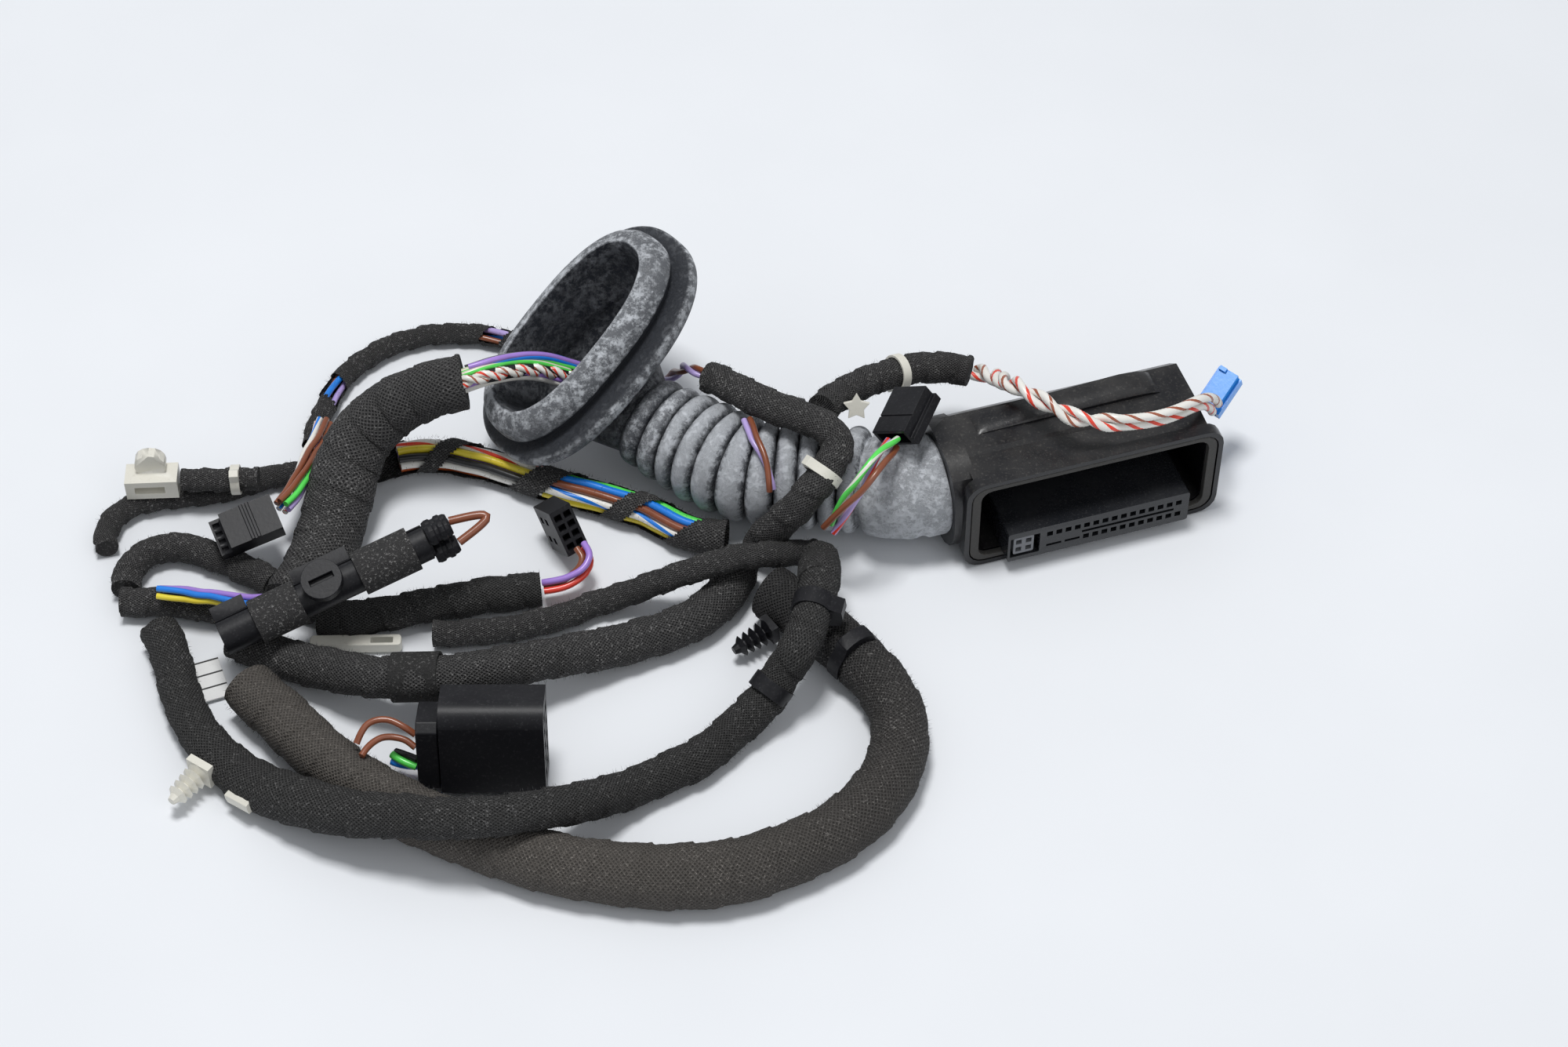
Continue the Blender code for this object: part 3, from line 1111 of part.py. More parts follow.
def build_bands(harness):
    strap("white_band_left", CLIP_STUB, 0.42, CLIP_STUB_DIAMETER, CREAM, harness, 60.0)
    strap("white_band_back", BACK_BRANCH, 0.34, BACK_BRANCH_DIAMETER, CREAM, harness, 250.0)
    strap("white_band_cross", CROSS_BRANCH, 0.60, CROSS_BRANCH_DIAMETER, CREAM, harness, 120.0, 2.6)
    strap("black_round_clip", FRONT_LOOP, 0.11, FRONT_LOOP_DIAMETER, BLACK_PLASTIC, harness, 0.0, 5.0, 2.5)
    strap("black_tab", FRONT_LOOP, 0.20, FRONT_LOOP_DIAMETER, BLACK_PLASTIC, harness, 210.0, 4.0, 1.5)
    strap("overlap_tape", MIDDLE_LOWER, 0.62, MIDDLE_LOWER_DIAMETER, DARK_TAPE, harness, 0.0, 12.0, 0.0)
    strap("junction_tape", FRONT_LOOP, 0.06, FRONT_LOOP_DIAMETER, DARK_TAPE, harness, 0.0, 8.0, 0.0)
    saddle(
        "white_band_front", FRONT_LOOP, 0.735, FRONT_LOOP_DIAMETER, CREAM, harness, -45.0, 35.0, 7.5, 2.0,
    )
    saddle("black_clip_wide", WIDE_BUNDLE, 0.84, WIDE_BUNDLE_DIAMETER, BLACK_PLASTIC, harness)


def build_large_white_clip(harness):
    """A clip body with a slot for its strap and a round dome on its back."""
    length, width, height = WHITE_CLIP_SIZE
    frame = make_frame("large_white_clip_frame", frame_matrix(*WHITE_CLIP_PLACE), harness)
    half = (length / 2.0, width / 2.0, height / 2.0)
    obj = add_mesh("large_white_clip", box([-value for value in half], half), CREAM, frame)
    outline = oval(WHITE_CLIP_DOME, WHITE_CLIP_DOME, 2.2, 16)
    dome = [(x, z + half[2] + 0.55 * WHITE_CLIP_DOME) for x, z in outline]
    combine(obj, "UNION", "clip_dome", along_y(dome, 0.0, 0.9 * half[1]), frame)
    slot = box(
        (-0.65 * half[0], -half[1] - 1.0, -0.4 * half[2]), (0.5 * half[0], half[1] + 1.0, 0.4 * half[2]),
    )
    combine(obj, "DIFFERENCE", "clip_slot", slot, frame)
    return obj


def build_star_clip(harness):
    """A small clip with a five-pointed head on a round stem."""
    frame = make_frame("star_clip_frame", frame_matrix(*STAR_PLACE), harness)
    points = []
    for step in range(10):
        radius = STAR_NOTCH if step % 2 else STAR_RADIUS
        angle = math.radians(90.0 + 36.0 * step)
        points.append((radius * math.cos(angle), radius * math.sin(angle)))
    obj = add_mesh("star_clip", along_z(points, 0.0, STAR_THICKNESS), CREAM, frame)
    stem = along_z(circle(0.65 * STAR_NOTCH, 12), -2.5, STAR_THICKNESS / 2.0)
    combine(obj, "UNION", "star_stem", stem, frame)
    return obj


def fir_rows():
    """Distance and radius along a fir-tree stem: cones that get smaller towards the tip."""
    rows = []
    for step in range(FIR_RIBS):
        radius = FIR_RADIUS + (FIR_TIP_RADIUS - FIR_RADIUS) * step / FIR_RIBS
        start = FIR_PITCH * step
        rows += [(start, FIR_CORE), (start + 0.15 * FIR_PITCH, radius), (start + 0.75 * FIR_PITCH, FIR_CORE)]
    return rows + [(FIR_PITCH * FIR_RIBS + 1.0, 0.7 * FIR_CORE)]


def build_fir_clip(name, place, foot, look, harness):
    """A push-in fir-tree clip: a ribbed stem on a square foot that is strapped to the bundle."""
    frame = make_frame(name + "_frame", frame_matrix(*place), harness)
    foot_top = 1.4
    loops = [[(x + 1.0, u, v) for u, v in circle(radius, 8)] for x, radius in fir_rows()]
    obj = add_mesh(name, loft(loops), look, frame)
    combine(obj, "UNION", name + "_foot", box((-0.6, -foot, -foot), (foot_top, foot, foot)), frame)
    return obj


def build_slot_clip(harness):
    length, width, height = SLOT_CLIP_SIZE
    slot_length, slot_width = SLOT_CLIP_SLOT
    frame = make_frame("white_slot_clip_frame", frame_matrix(*SLOT_CLIP_PLACE), harness)
    outline = rounded_rect(-length / 2.0, length / 2.0, -width / 2.0, width / 2.0, width / 4.0, steps=2)
    obj = add_mesh("white_slot_clip", along_z(outline, -height / 2.0, height / 2.0), CREAM, frame)
    start = length / 6.0
    slot = box((start, -slot_width / 2.0, -height), (start + slot_length, slot_width / 2.0, height))
    combine(obj, "DIFFERENCE", "slot_clip_slot", slot, frame)
    return obj


def build_disc_clip(frame):
    """A round clip whose foot sits on the splice holder, with a slot across its head."""
    base = HOLDER_RADIUS + SEAT_GAP
    neck = 1.2
    top = base + neck + DISC_THICKNESS
    outline = [(DISC_STATION + u, v) for u, v in circle(DISC_RADIUS, 24)]
    obj = add_mesh("disc_clip", along_z(outline, base + neck, top), BLACK_PLASTIC, frame)
    half = DISC_RADIUS / 2.0
    foot = box(
        (DISC_STATION - half, -0.8 * half, base),
        (DISC_STATION + half, 0.8 * half, base + neck + 0.3 * DISC_THICKNESS),
    )
    combine(obj, "UNION", "disc_clip_foot", foot, frame)
    slot = box(
        (DISC_STATION - 1.2 * half, -DISC_SLOT / 2.0, top - 0.5 * DISC_THICKNESS),
        (DISC_STATION + 1.2 * half, DISC_SLOT / 2.0, top + 1.0),
    )
    combine(obj, "DIFFERENCE", "disc_clip_slot", slot, frame)
    return obj


def build_label_flag(harness):
    """A paper flag that stands clear of the bundle's end on one side."""
    frame = make_frame("label_flag_frame", frame_matrix(*LABEL_PLACE), harness)
    half = [value / 2.0 for value in LABEL_SIZE]
    return add_mesh("label_flag", box([-value for value in half], half), PAPER, frame)


def build_bundles(harness):
    rows = (
        ("trunk", TRUNK, TRUNK_DIAMETER, DARK_TAPE),
        ("wide_bundle", WIDE_BUNDLE, WIDE_BUNDLE_DIAMETER, DARK_TAPE),
        ("front_loop", FRONT_LOOP, FRONT_LOOP_DIAMETER, DARK_TAPE),
        ("middle_upper", MIDDLE_UPPER, MIDDLE_UPPER_DIAMETER, DARK_TAPE),
        ("four_way_branch", FOUR_WAY_BRANCH, FOUR_WAY_BRANCH_DIAMETER, DARK_TAPE),
        ("middle_lower", MIDDLE_LOWER, MIDDLE_LOWER_DIAMETER, DARK_TAPE),
        ("half_taped", HALF_TAPED, HALF_TAPED_DIAMETER, DARK_TAPE),
        ("cross_branch", CROSS_BRANCH, CROSS_BRANCH_DIAMETER, DARK_TAPE),
        ("back_branch", BACK_BRANCH, BACK_BRANCH_DIAMETER, DARK_TAPE),
        ("back_loop", BACK_LOOP, BACK_LOOP_DIAMETER, DARK_TAPE),
        ("left_hook", LEFT_HOOK, LEFT_HOOK_DIAMETER, DARK_TAPE),
        ("left_upper", LEFT_UPPER, LEFT_UPPER_DIAMETER, DARK_TAPE),
        ("left_stub", LEFT_STUB, LEFT_STUB_DIAMETER, DARK_TAPE),
        ("clip_stub", CLIP_STUB, CLIP_STUB_DIAMETER, DARK_TAPE),
        ("stub_wires", STUB_WIRES, STUB_WIRES_DIAMETER, BLUE_WIRE),
        ("pair_back", PAIR_BACK, PAIR_BACK_DIAMETER, LILAC_WIRE),
        ("pair_over", PAIR_OVER, PAIR_OVER_DIAMETER, BROWN_WIRE),
        ("blue_pair", BLUE_PAIR, BLUE_PAIR_DIAMETER, WHITE_WIRE),
        ("three_way_wires", THREE_WAY_WIRES, THREE_WAY_WIRES_DIAMETER, BROWN_WIRE),
        ("four_way_wires", FOUR_WAY_WIRES, FOUR_WAY_WIRES_DIAMETER, RED_WIRE),
        ("five_way_wires", FIVE_WAY_WIRES, FIVE_WAY_WIRES_DIAMETER, WHITE_WIRE),
        ("brown_loop_a", BROWN_LOOP_A, BROWN_LOOP_DIAMETER, BROWN_WIRE),
        ("brown_loop_b", BROWN_LOOP_B, BROWN_LOOP_DIAMETER, BROWN_WIRE),
        ("lower_wires", LOWER_WIRES, LOWER_WIRES_DIAMETER, BLUE_WIRE),
    )
    for name, route, diameter, look in rows:
        tube(name, route, diameter, look, harness)


def main():
    clear_scene()
    harness = make_frame("harness", Matrix.Translation(LAYOUT_SHIFT))
    shell = make_frame("shell_frame", shell_placement(), harness)
    build_connector_shell(shell)
    build_mouth_seal(shell)
    build_contact_insert(shell)
    build_pin_module(shell)
    build_door_grommet(harness)
    build_inner_bundle(harness)
    build_bundles(harness)
    build_three_way(harness)
    build_five_way(harness)
    build_four_way(harness)
    build_blue_connector(harness)
    build_large_connector(harness)
    holder = make_frame("holder_frame", holder_placement(), harness)
    build_splice_holder(holder)
    build_splice_plugs(holder)
    build_plug_wire_loop(holder)
    build_holder_wraps(holder)
    build_disc_clip(holder)
    build_bands(harness)
    build_large_white_clip(harness)
    build_star_clip(harness)
    build_fir_clip("white_fir_clip", WHITE_FIR_PLACE, WHITE_FIR_FOOT, CREAM, harness)
    build_fir_clip("black_fir_clip", BLACK_FIR_PLACE, BLACK_FIR_FOOT, BLACK_PLASTIC, harness)
    build_slot_clip(harness)
    build_label_flag(harness)


main()
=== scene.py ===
"""Looks of the door wiring harness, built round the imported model: taped bundles, wires, rubber,
plastic parts, soft light and the photograph's camera. Sizes and places are in millimetres, in the
frame that the routes were drawn in, and are turned into metres where meshes are made."""

import math
import random

import bmesh
import bpy
from mathutils import Matrix, Vector, noise

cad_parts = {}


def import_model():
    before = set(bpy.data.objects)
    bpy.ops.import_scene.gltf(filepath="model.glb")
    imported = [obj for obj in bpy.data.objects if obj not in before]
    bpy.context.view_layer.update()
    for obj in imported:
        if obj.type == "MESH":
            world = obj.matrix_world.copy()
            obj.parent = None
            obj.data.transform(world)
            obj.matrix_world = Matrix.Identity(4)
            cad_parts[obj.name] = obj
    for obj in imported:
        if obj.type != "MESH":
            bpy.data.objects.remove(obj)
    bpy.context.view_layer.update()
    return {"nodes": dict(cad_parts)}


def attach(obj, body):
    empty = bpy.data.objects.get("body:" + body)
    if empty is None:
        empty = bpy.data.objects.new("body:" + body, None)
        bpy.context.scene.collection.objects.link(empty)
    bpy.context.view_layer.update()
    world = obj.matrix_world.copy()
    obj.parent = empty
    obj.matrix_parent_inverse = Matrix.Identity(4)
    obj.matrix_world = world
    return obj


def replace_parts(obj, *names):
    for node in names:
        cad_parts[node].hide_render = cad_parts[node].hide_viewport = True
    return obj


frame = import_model()

MM = 0.001
TABLE_CLEARANCE = 0.15
TUBE_EDGE = 60.0
THREAD_PITCH = 0.0011
THREADS_ROUND = 36.0
LAYOUT_SHIFT = Vector((-15.05, -24.08, 0.0))
scene = bpy.context.scene
random.seed(7)

# Routes and sizes, as in the model
SHELL_ORIGIN = (46.3, -15.7, 0.0)
SHELL_AXIS = (0.953, 0.302, 0.0)
RIM_OVERHANG = 3.0
COLLAR_LENGTH = 5.0
COLLAR_Y = 17.5
COLLAR_Z = 15.6
BOOT_INSERTION = 3.5
SEAT_GAP = 0.3
HOLDER_START = (-139.1, -51.6, 14.9)
HOLDER_END = (-89.0, -29.4, 25.9)
HOLDER_SIDE = (-0.55, 0.8, 0.35)
PLUG_CIRCLE = 3.55
PLUG_LENGTH = 6.5
PLUG_WIRE_DIAMETER = 2.2
PLUG_LOOP_REACH = 9.0
PLUG_LOOP_STEPS = 16
PLUG_SEAT_RADIUS = 4.2

# Door grommet: oval mouth, flange and bellows moulded as one piece of rubber
FLANGE_CENTRE = (-51.2, 35.1, 31.0)
MOUTH_LONG_AXIS = (0.626, 0.577, 0.520)
MOUTH_NORMAL = (-0.500, -0.213, 0.838)
MOUTH_POWER = 2.5
MOUTH_RISE = 11.0
MOUTH_WALL = 3.5
FLANGE_LONG = 35.8
FLANGE_SHORT = 23.1
FLANGE_DEPTH = 4.5
GROOVE_LONG = 31.0
GROOVE_SHORT = 16.0
BAND_LONG = 32.3
BAND_SHORT = 17.6
RIM_LONG = 30.0
RIM_SHORT = 15.8
NECK_WALL = 1.6
NECK_POWER = 2.2
GROMMET_SEGMENTS = 96
GROMMET_ANGLES = [2.0 * math.pi * step / GROMMET_SEGMENTS for step in range(GROMMET_SEGMENTS)]
BELLOWS_RINGS = 11
BELLOWS_PITCH = 5.74
BELLOWS_CREST = 14.0
BELLOWS_ROOT = 11.3
BELLOWS_WALL = 1.5
BELLOWS_ROUTE = [
    (-36.7, 23.3, 15.5), (-33.7, 21.2, 15), (-30.2, 18.8, 14.6), (-25.8, 15.9, 14.4), (-21.1, 12.6, 14.3),
    (-16.1, 9.3, 14.3), (-11.2, 6.7, 14.3), (-5.5, 5, 14.3), (0, 4.3, 14.3), (8, 3.6, 14.4),
    (16, 2.4, 14.7), (24, 0.6, 15.1), (29.5, -0.8, 15.4),
]
# Sections of the elbow between the mouth and the first ring: along the short axis and the normal,
# the near edge, the far edge, then half the long side and the middle's shift along the long axis
ELBOW_SECTIONS = [
    ((12.5, -3.8), (-12.5, -3.8), 22.0, -2.0), ((13.0, -6.0), (-12.0, -10.0), 20.0, -3.0),
    ((14.2, -7.4), (-6.5, -19.0), 16.0, -4.5), ((16.8, -8.0), (2.0, -25.5), 13.0, -5.5),
]



def level_route(height, points):
    """A route that keeps one height."""
    return [(x, y, height) for x, y in points]


# Bundles and wires: the diameter, then points along the middle
TRUNK_DIAMETER = 13.0
TRUNK = [
    (-82.5, 19.5, 33), (-86, 19, 32.5), (-90, 19, 31), (-94, 19, 29), (-98, 18.5, 27), (-102, 18, 24.5),
    (-105.5, 16, 22), (-109, 14, 19.5), (-111.5, 10.5, 17), (-113.5, 7, 14.5), (-114.5, 2.5, 12),
    (-115.5, -1.5, 9.5), (-116.5, -7, 7.5), (-118, -13.5, 6.7), (-120, -20.5, 6.7), (-122.5, -27.5, 6.7),
    (-125, -33.5, 6.7),
]
WIDE_BUNDLE_DIAMETER = 13.0
WIDE_BUNDLE = level_route(6.7, [
    (-132.5, -60.5), (-130, -63.5), (-126, -67.5), (-120.5, -73.5), (-114.2, -80.2), (-107, -86.7),
    (-98.2, -93.5), (-88.3, -99.7), (-77.2, -105.2), (-65.3, -110.4), (-53, -114.5), (-40, -117),
    (-26, -118), (-12, -116.5), (1, -111.5), (12, -105), (21, -96), (27, -84.5), (28.5, -72.5), (25, -61.5),
    (18.5, -51.5), (10, -42), (2.5, -34.5),
]) + [(-3.8, -29.2, 6.9)]
FRONT_LOOP_DIAMETER = 9.0
FRONT_LOOP = [
    (9, -25, 14.4), (9, -34.5, 18.6), (8, -43, 19.4), (6, -51, 19.2), (3.5, -57.5, 17.5), (0, -60.5, 13),
    (-3.5, -64.5, 9), (-8.5, -69, 6), (-14, -74.5, 4.7), (-20.5, -81, 4.7), (-29, -86, 4.7),
    (-37, -91, 5.5), (-43.5, -96, 8.5), (-49, -100.5, 12), (-55, -104.5, 15.5), (-62, -108, 18.2),
    (-69, -109.5, 18.9), (-75.5, -109.5, 18.5), (-81.5, -109, 17.3), (-89, -107, 15.6),
    (-97.3, -105.4, 13.8), (-106, -102.4, 11.5), (-115.2, -98, 9), (-124, -92.3, 6.2), (-132.3, -86, 4.7),
    (-139.4, -79, 4.7), (-145.2, -70.6, 4.7), (-149.4, -61.6, 4.7), (-152.2, -53, 4.7), (-155, -45.5, 4.7),
    (-157.5, -40.5, 4.7),
]
MIDDLE_UPPER_DIAMETER = 6.6
MIDDLE_UPPER = [
    (8, -17, 8), (4, -18.5, 9.5), (0, -21, 11.8), (-4, -23, 13.8), (-8, -24.2, 14.8), (-12, -25, 15),
    (-16.5, -26.5, 14.8), (-21, -28, 14.3), (-26, -28.5, 12.5), (-32, -28.5, 9.3), (-38, -28.5, 6),
    (-44, -29.5, 4), (-50, -31.5, 3.5), (-55.5, -34.5, 3.5), (-61.5, -36.5, 3.5), (-67.5, -38.5, 3.5),
    (-73.5, -39.5, 3.5), (-79, -40, 3.5), (-84, -40.5, 3.5), (-88.5, -40.5, 3.5),
]
FOUR_WAY_BRANCH_DIAMETER = 9.0
FOUR_WAY_BRANCH = level_route(4.7, [
    (-62, -26.5), (-65.5, -27), (-69.5, -28), (-74, -28.5), (-78.5, -29.5), (-83, -30.5), (-87.5, -31.5),
    (-92, -32.5), (-96.5, -34), (-101, -35), (-105, -36), (-109, -36.5), (-113, -36.5), (-117.5, -36),
])
MIDDLE_LOWER_DIAMETER = 10.5
MIDDLE_LOWER = [
    (-11.5, -18.5, 5.8), (-13, -25, 5.4), (-16.5, -31, 5.4), (-21.5, -36.5, 5.4), (-28.5, -41, 5.4),
    (-35.5, -44, 5.6), (-43, -47.5, 6.5), (-50.5, -51, 8.5), (-58.5, -55, 11), (-65.5, -58.5, 13),
    (-73, -61.5, 14.5), (-80.5, -63.5, 15), (-88.5, -64.5, 15), (-96, -63.5, 14), (-104, -61, 12),
    (-111.5, -57, 9), (-119.5, -53, 6.5), (-127.5, -49, 5.4), (-133.5, -46, 5.4), (-138, -43.8, 5.4),
]
HALF_TAPED_DIAMETER = 9.5
HALF_TAPED = [(-14.8, -9.7, 5.1)] + level_route(5, [
    (-19.5, -9), (-22.5, -8), (-27, -6), (-31.5, -3), (-36, 0), (-41, 2), (-46, 4), (-51.5, 6),
    (-56.5, 7.5), (-61.5, 9.5), (-67, 12), (-72.5, 14.5), (-77.5, 16.5), (-83, 18), (-88, 19.5),
    (-93.5, 20), (-99, 19.5), (-104, 18), (-108.5, 16),
])
CROSS_BRANCH_DIAMETER = 8.5
CROSS_BRANCH = [
    (-19.5, 27, 27), (-16.5, 24.5, 28), (-12.5, 20, 29.8), (-8.5, 15.5, 31.4), (-4.5, 11.5, 32.8),
    (-0.5, 8.5, 33.8), (4, 6, 34.4), (8.5, 3, 34.8), (12, 0, 34.6), (13.5, -3, 33.3), (12.5, -6.8, 31.4),
    (9.5, -10.7, 29.1), (6, -13.4, 25.9), (2.5, -14.6, 21.6), (-1, -14.8, 17), (-3.8, -14.3, 12.5),
    (-5.5, -13.2, 9), (-6.5, -12, 5.2),
]
BACK_BRANCH_DIAMETER = 8.0
BACK_BRANCH = [
    (49, 36, 20), (46, 37, 20), (42.5, 37, 20.5), (39.5, 36.5, 21), (36, 36, 21.5), (32.5, 34.5, 22),
    (29.5, 32.5, 23), (26, 30.5, 24), (22.5, 28, 25), (19.5, 24.5, 26.5), (17, 21.5, 28), (14.5, 18, 29.5),
    (12, 14.5, 31), (9.6, 10, 32.6),
]
BACK_LOOP_DIAMETER = 5.6
BACK_LOOP = level_route(3, [
    (-64.5, 64), (-70, 64), (-75, 65), (-80.5, 66.5), (-86, 67.5), (-91.5, 67.5), (-97, 67), (-102, 65.5),
    (-107.5, 63), (-112, 59.5), (-116, 55.5), (-119.5, 50.5), (-122, 44.5), (-123.5, 38), (-125, 31.5),
    (-125.5, 25),
])
LEFT_HOOK_DIAMETER = 6.0
LEFT_HOOK = [(-109.7, 15.6, 3.8)] + level_route(3.2, [
    (-113.5, 15), (-118.5, 15), (-123.5, 15.5), (-129, 15), (-134.5, 14), (-139.5, 12), (-144.5, 9.5),
    (-150, 8), (-155, 7), (-160, 6.5), (-164.5, 5.5), (-169, 4), (-172.5, 1.5), (-175, -2), (-176, -7),
    (-175, -11.5),
])
LEFT_UPPER_DIAMETER = 7.5
LEFT_UPPER = level_route(4, [
    (-130.5, -24.5), (-134.5, -21.5), (-139, -19), (-143, -16.5), (-148, -14.5), (-152.5, -12.5),
    (-157, -12), (-161, -12.5), (-164.5, -14.5), (-167, -17.5), (-168, -21.5), (-168, -26.4),
])
LEFT_STUB_DIAMETER = 7.5
LEFT_STUB = level_route(4, [
    (-168.5, -30.5), (-165, -30.5), (-161.5, -30.5), (-158, -30.5), (-154.5, -31), (-150.5, -31.5),
    (-147, -32), (-143, -33),
])
STUB_WIRES = [
    (-158, -32.5, 10.2), (-154.5, -33, 10.4), (-151, -33.5, 10.6), (-147.5, -34.5, 10.9), (-144, -35, 11.3),
    (-140.5, -36, 11.6), (-137, -37, 12), (-133.5, -38, 12.6), (-130, -38.5, 13.4), (-127.5, -39.5, 14),
]
PAIR_BACK = [
    (-63.6, 63.6, 3), (-59, 61.5, 2.6), (-53.5, 58, 2.2), (-47.5, 53.5, 2.2), (-41.5, 49.5, 3.2),
    (-35.8, 45.5, 6.5), (-31.2, 42, 11.5), (-28.2, 38.8, 17), (-26.8, 35.6, 21.5), (-25.2, 32.8, 24.8),
    (-24.2, 31, 26.2), (-22.8, 29.4, 26.8), (-20.4, 28, 27),
]
PAIR_OVER = [
    (-9.5, 9, 29.9), (-8.5, 5.5, 30.2), (-7.5, 2, 30), (-6, -1, 29.2), (-4.8, -3.5, 28), (-4, -6, 26.4),
    (-3.5, -8, 24.6), (-3.2, -9, 22.6),
]
BLUE_PAIR = [
    (50.3, 35.4, 20.3), (52.2, 34, 21.5), (54.5, 30, 24.5), (56, 24.5, 29), (57, 18, 34.5),
    (59.5, 12.5, 38.5), (63, 8.5, 39.5), (66.5, 5.5, 39.5), (70.5, 3, 39), (74.5, 1, 38.5), (79.5, 0.5, 38),
    (84.5, 0.5, 37.5), (90, 1.5, 37), (95, 3, 36.6), (100, 5.5, 36.2), (104.5, 9, 35.2), (108, 12.5, 32.9),
    (110.4, 15.6, 29.1), (111.5, 18, 25.8), (112.2, 19.6, 23.3),
]
THREE_WAY_WIRES = [
    (27.9, -3.4, 34.6), (26.4, -6.4, 35.3), (24.6, -9.8, 36.4), (22.8, -13, 36.4), (21, -15.6, 35.2),
    (19, -17.5, 32.8), (16.5, -18.5, 29.5), (14.5, -19, 26), (12.7, -19.3, 22.4), (11.5, -19.4, 19.8),
]
FOUR_WAY_WIRES = [
    (-61.3, -26.4, 5), (-58.5, -26, 5.5), (-56, -25.4, 6), (-53.5, -24.3, 6.8), (-51.2, -22.6, 7.8),
    (-50.2, -19.6, 9), (-52, -16.5, 9.4),
]
FIVE_WAY_WIRES = [
    (-122, 27.5, 9.3), (-122.5, 22.5, 9.5), (-123, 19, 9.8), (-124, 15, 10.4), (-124.5, 10.5, 11.2),
    (-125, 6.5, 12), (-126, 2, 12.8), (-127, -2, 13.3), (-129, -6.4, 13.6),
]
CLIP_STUB_DIAMETER = 6.0
CLIP_STUB = level_route(9.6, [
    (-137, 7), (-140.5, 7), (-143.5, 7), (-146.5, 6.5), (-149, 6.5), (-152, 6.5), (-155, 6.5), (-157, 6.5),
])
BROWN_LOOP_DIAMETER = 1.7
BROWN_LOOP_A = [
    (-89, -82, 15), (-91.5, -81, 16.5), (-95, -79.5, 17.3), (-98, -79.5, 17.5), (-100.5, -80.5, 17),
    (-102, -82.5, 16), (-103, -84.5, 14.6),
]
BROWN_LOOP_B = [
    (-89, -84, 12.5), (-91.5, -82.5, 13.5), (-94.5, -82, 14), (-97, -82.5, 14.4), (-99, -84, 14.5),
    (-100.5, -86, 14.5), (-101.5, -88, 14.3),
]
LOWER_WIRES = [
    (-88.9, -84, 6.5), (-91, -83.5, 6.5), (-93, -82.8, 6.4), (-95, -81.8, 6.2),
]
INNER_BUNDLE = [
    (-81.6, 19.7, 33.2), (-79, 20.5, 33.2), (-75.5, 22, 33), (-71.5, 24.2, 32), (-67, 26.6, 30.5),
    (-62.5, 28.5, 28.5), (-58, 29.5, 26.2), (-53.3, 30, 23.8), (-48.5, 30.3, 20.3), (-44, 28.7, 17.4),
    (-40.3, 26.1, 16.1),
]


def frame_matrix(origin, x_axis, y_axis):
    """A placement in millimetres: x along x_axis, y as near y_axis as it can be."""
    x = Vector(x_axis).normalized()
    z = x.cross(Vector(y_axis)).normalized()
    matrix = Matrix((x, z.cross(x), z)).transposed().to_4x4()
    matrix.translation = Vector(origin)
    return matrix


def ring_loft(loops):
    """Skins loops of equal point count and joins the last to the first."""
    count = len(loops[0])
    points = [point for loop in loops for point in loop]
    faces = []
    for row in range(len(loops)):
        here = row * count
        there = (row + 1) % len(loops) * count
        for side in range(count):
            following = (side + 1) % count
            faces.append((here + side, here + following, there + following, there + side))
    return points, faces


def oval(half_long, half_short, power):
    """A superellipse: power 2 is an ellipse, and more squares its shoulders."""
    outline = []
    for angle in GROMMET_ANGLES:
        c, s = math.cos(angle), math.sin(angle)
        size = (abs(c) ** power + abs(s) ** power) ** (-1.0 / power)
        outline.append((half_long * size * c, half_short * size * s))
    return outline


def catmull_rom(before, start, end, after, t):
    return 0.5 * (
        2.0 * start + (end - before) * t
        + (2.0 * before - 5.0 * start + 4.0 * end - after) * t ** 2
        + (3.0 * start - before - 3.0 * end + after) * t ** 3
    )


def smooth_route(route, steps=12):
    """A dense smooth curve through the points of a route."""
    points = [Vector(point) for point in route]
    padded = [2.0 * points[0] - points[1], *points, 2.0 * points[-1] - points[-2]]
    dense = []
    for span in range(len(points) - 1):
        for step in range(steps):
            dense.append(catmull_rom(*padded[span:span + 4], step / steps))
    return dense + [points[-1]]


def lengths_along(dense):
    lengths = [0.0]
    for first, second in zip(dense, dense[1:]):
        lengths.append(lengths[-1] + (second - first).length)
    return lengths


def point_at(dense, lengths, distance):
    """The point and the direction at a distance along a dense curve."""
    distance = min(max(distance, 0.0), lengths[-1])
    span = 1
    while span < len(lengths) - 1 and lengths[span] < distance:
        span += 1
    first, second = dense[span - 1], dense[span]
    share = (distance - lengths[span - 1]) / (lengths[span] - lengths[span - 1])
    return first.lerp(second, share), (second - first).normalized()


def shell_placement():
    return frame_matrix(SHELL_ORIGIN, SHELL_AXIS, (-SHELL_AXIS[1], SHELL_AXIS[0], 0.0))


def shell_point(x, y, z):
    """A point of the shell's frame in the harness frame."""
    return tuple(shell_placement() @ Vector((x, y, z)))


def mouth_axes():
    long_axis = Vector(MOUTH_LONG_AXIS).normalized()
    short_axis = long_axis.cross(Vector(MOUTH_NORMAL)).normalized()
    return long_axis, short_axis, short_axis.cross(long_axis)


def mouth_loop(rise, half_long, half_short):
    """One oval row of the grommet, at a height above the flange along the mouth's normal."""
    long_axis, short_axis, normal = mouth_axes()
    centre = Vector(FLANGE_CENTRE) + normal * rise
    outline = oval(half_long, half_short, MOUTH_POWER)
    return [centre + long_axis * u + short_axis * v for u, v in outline]


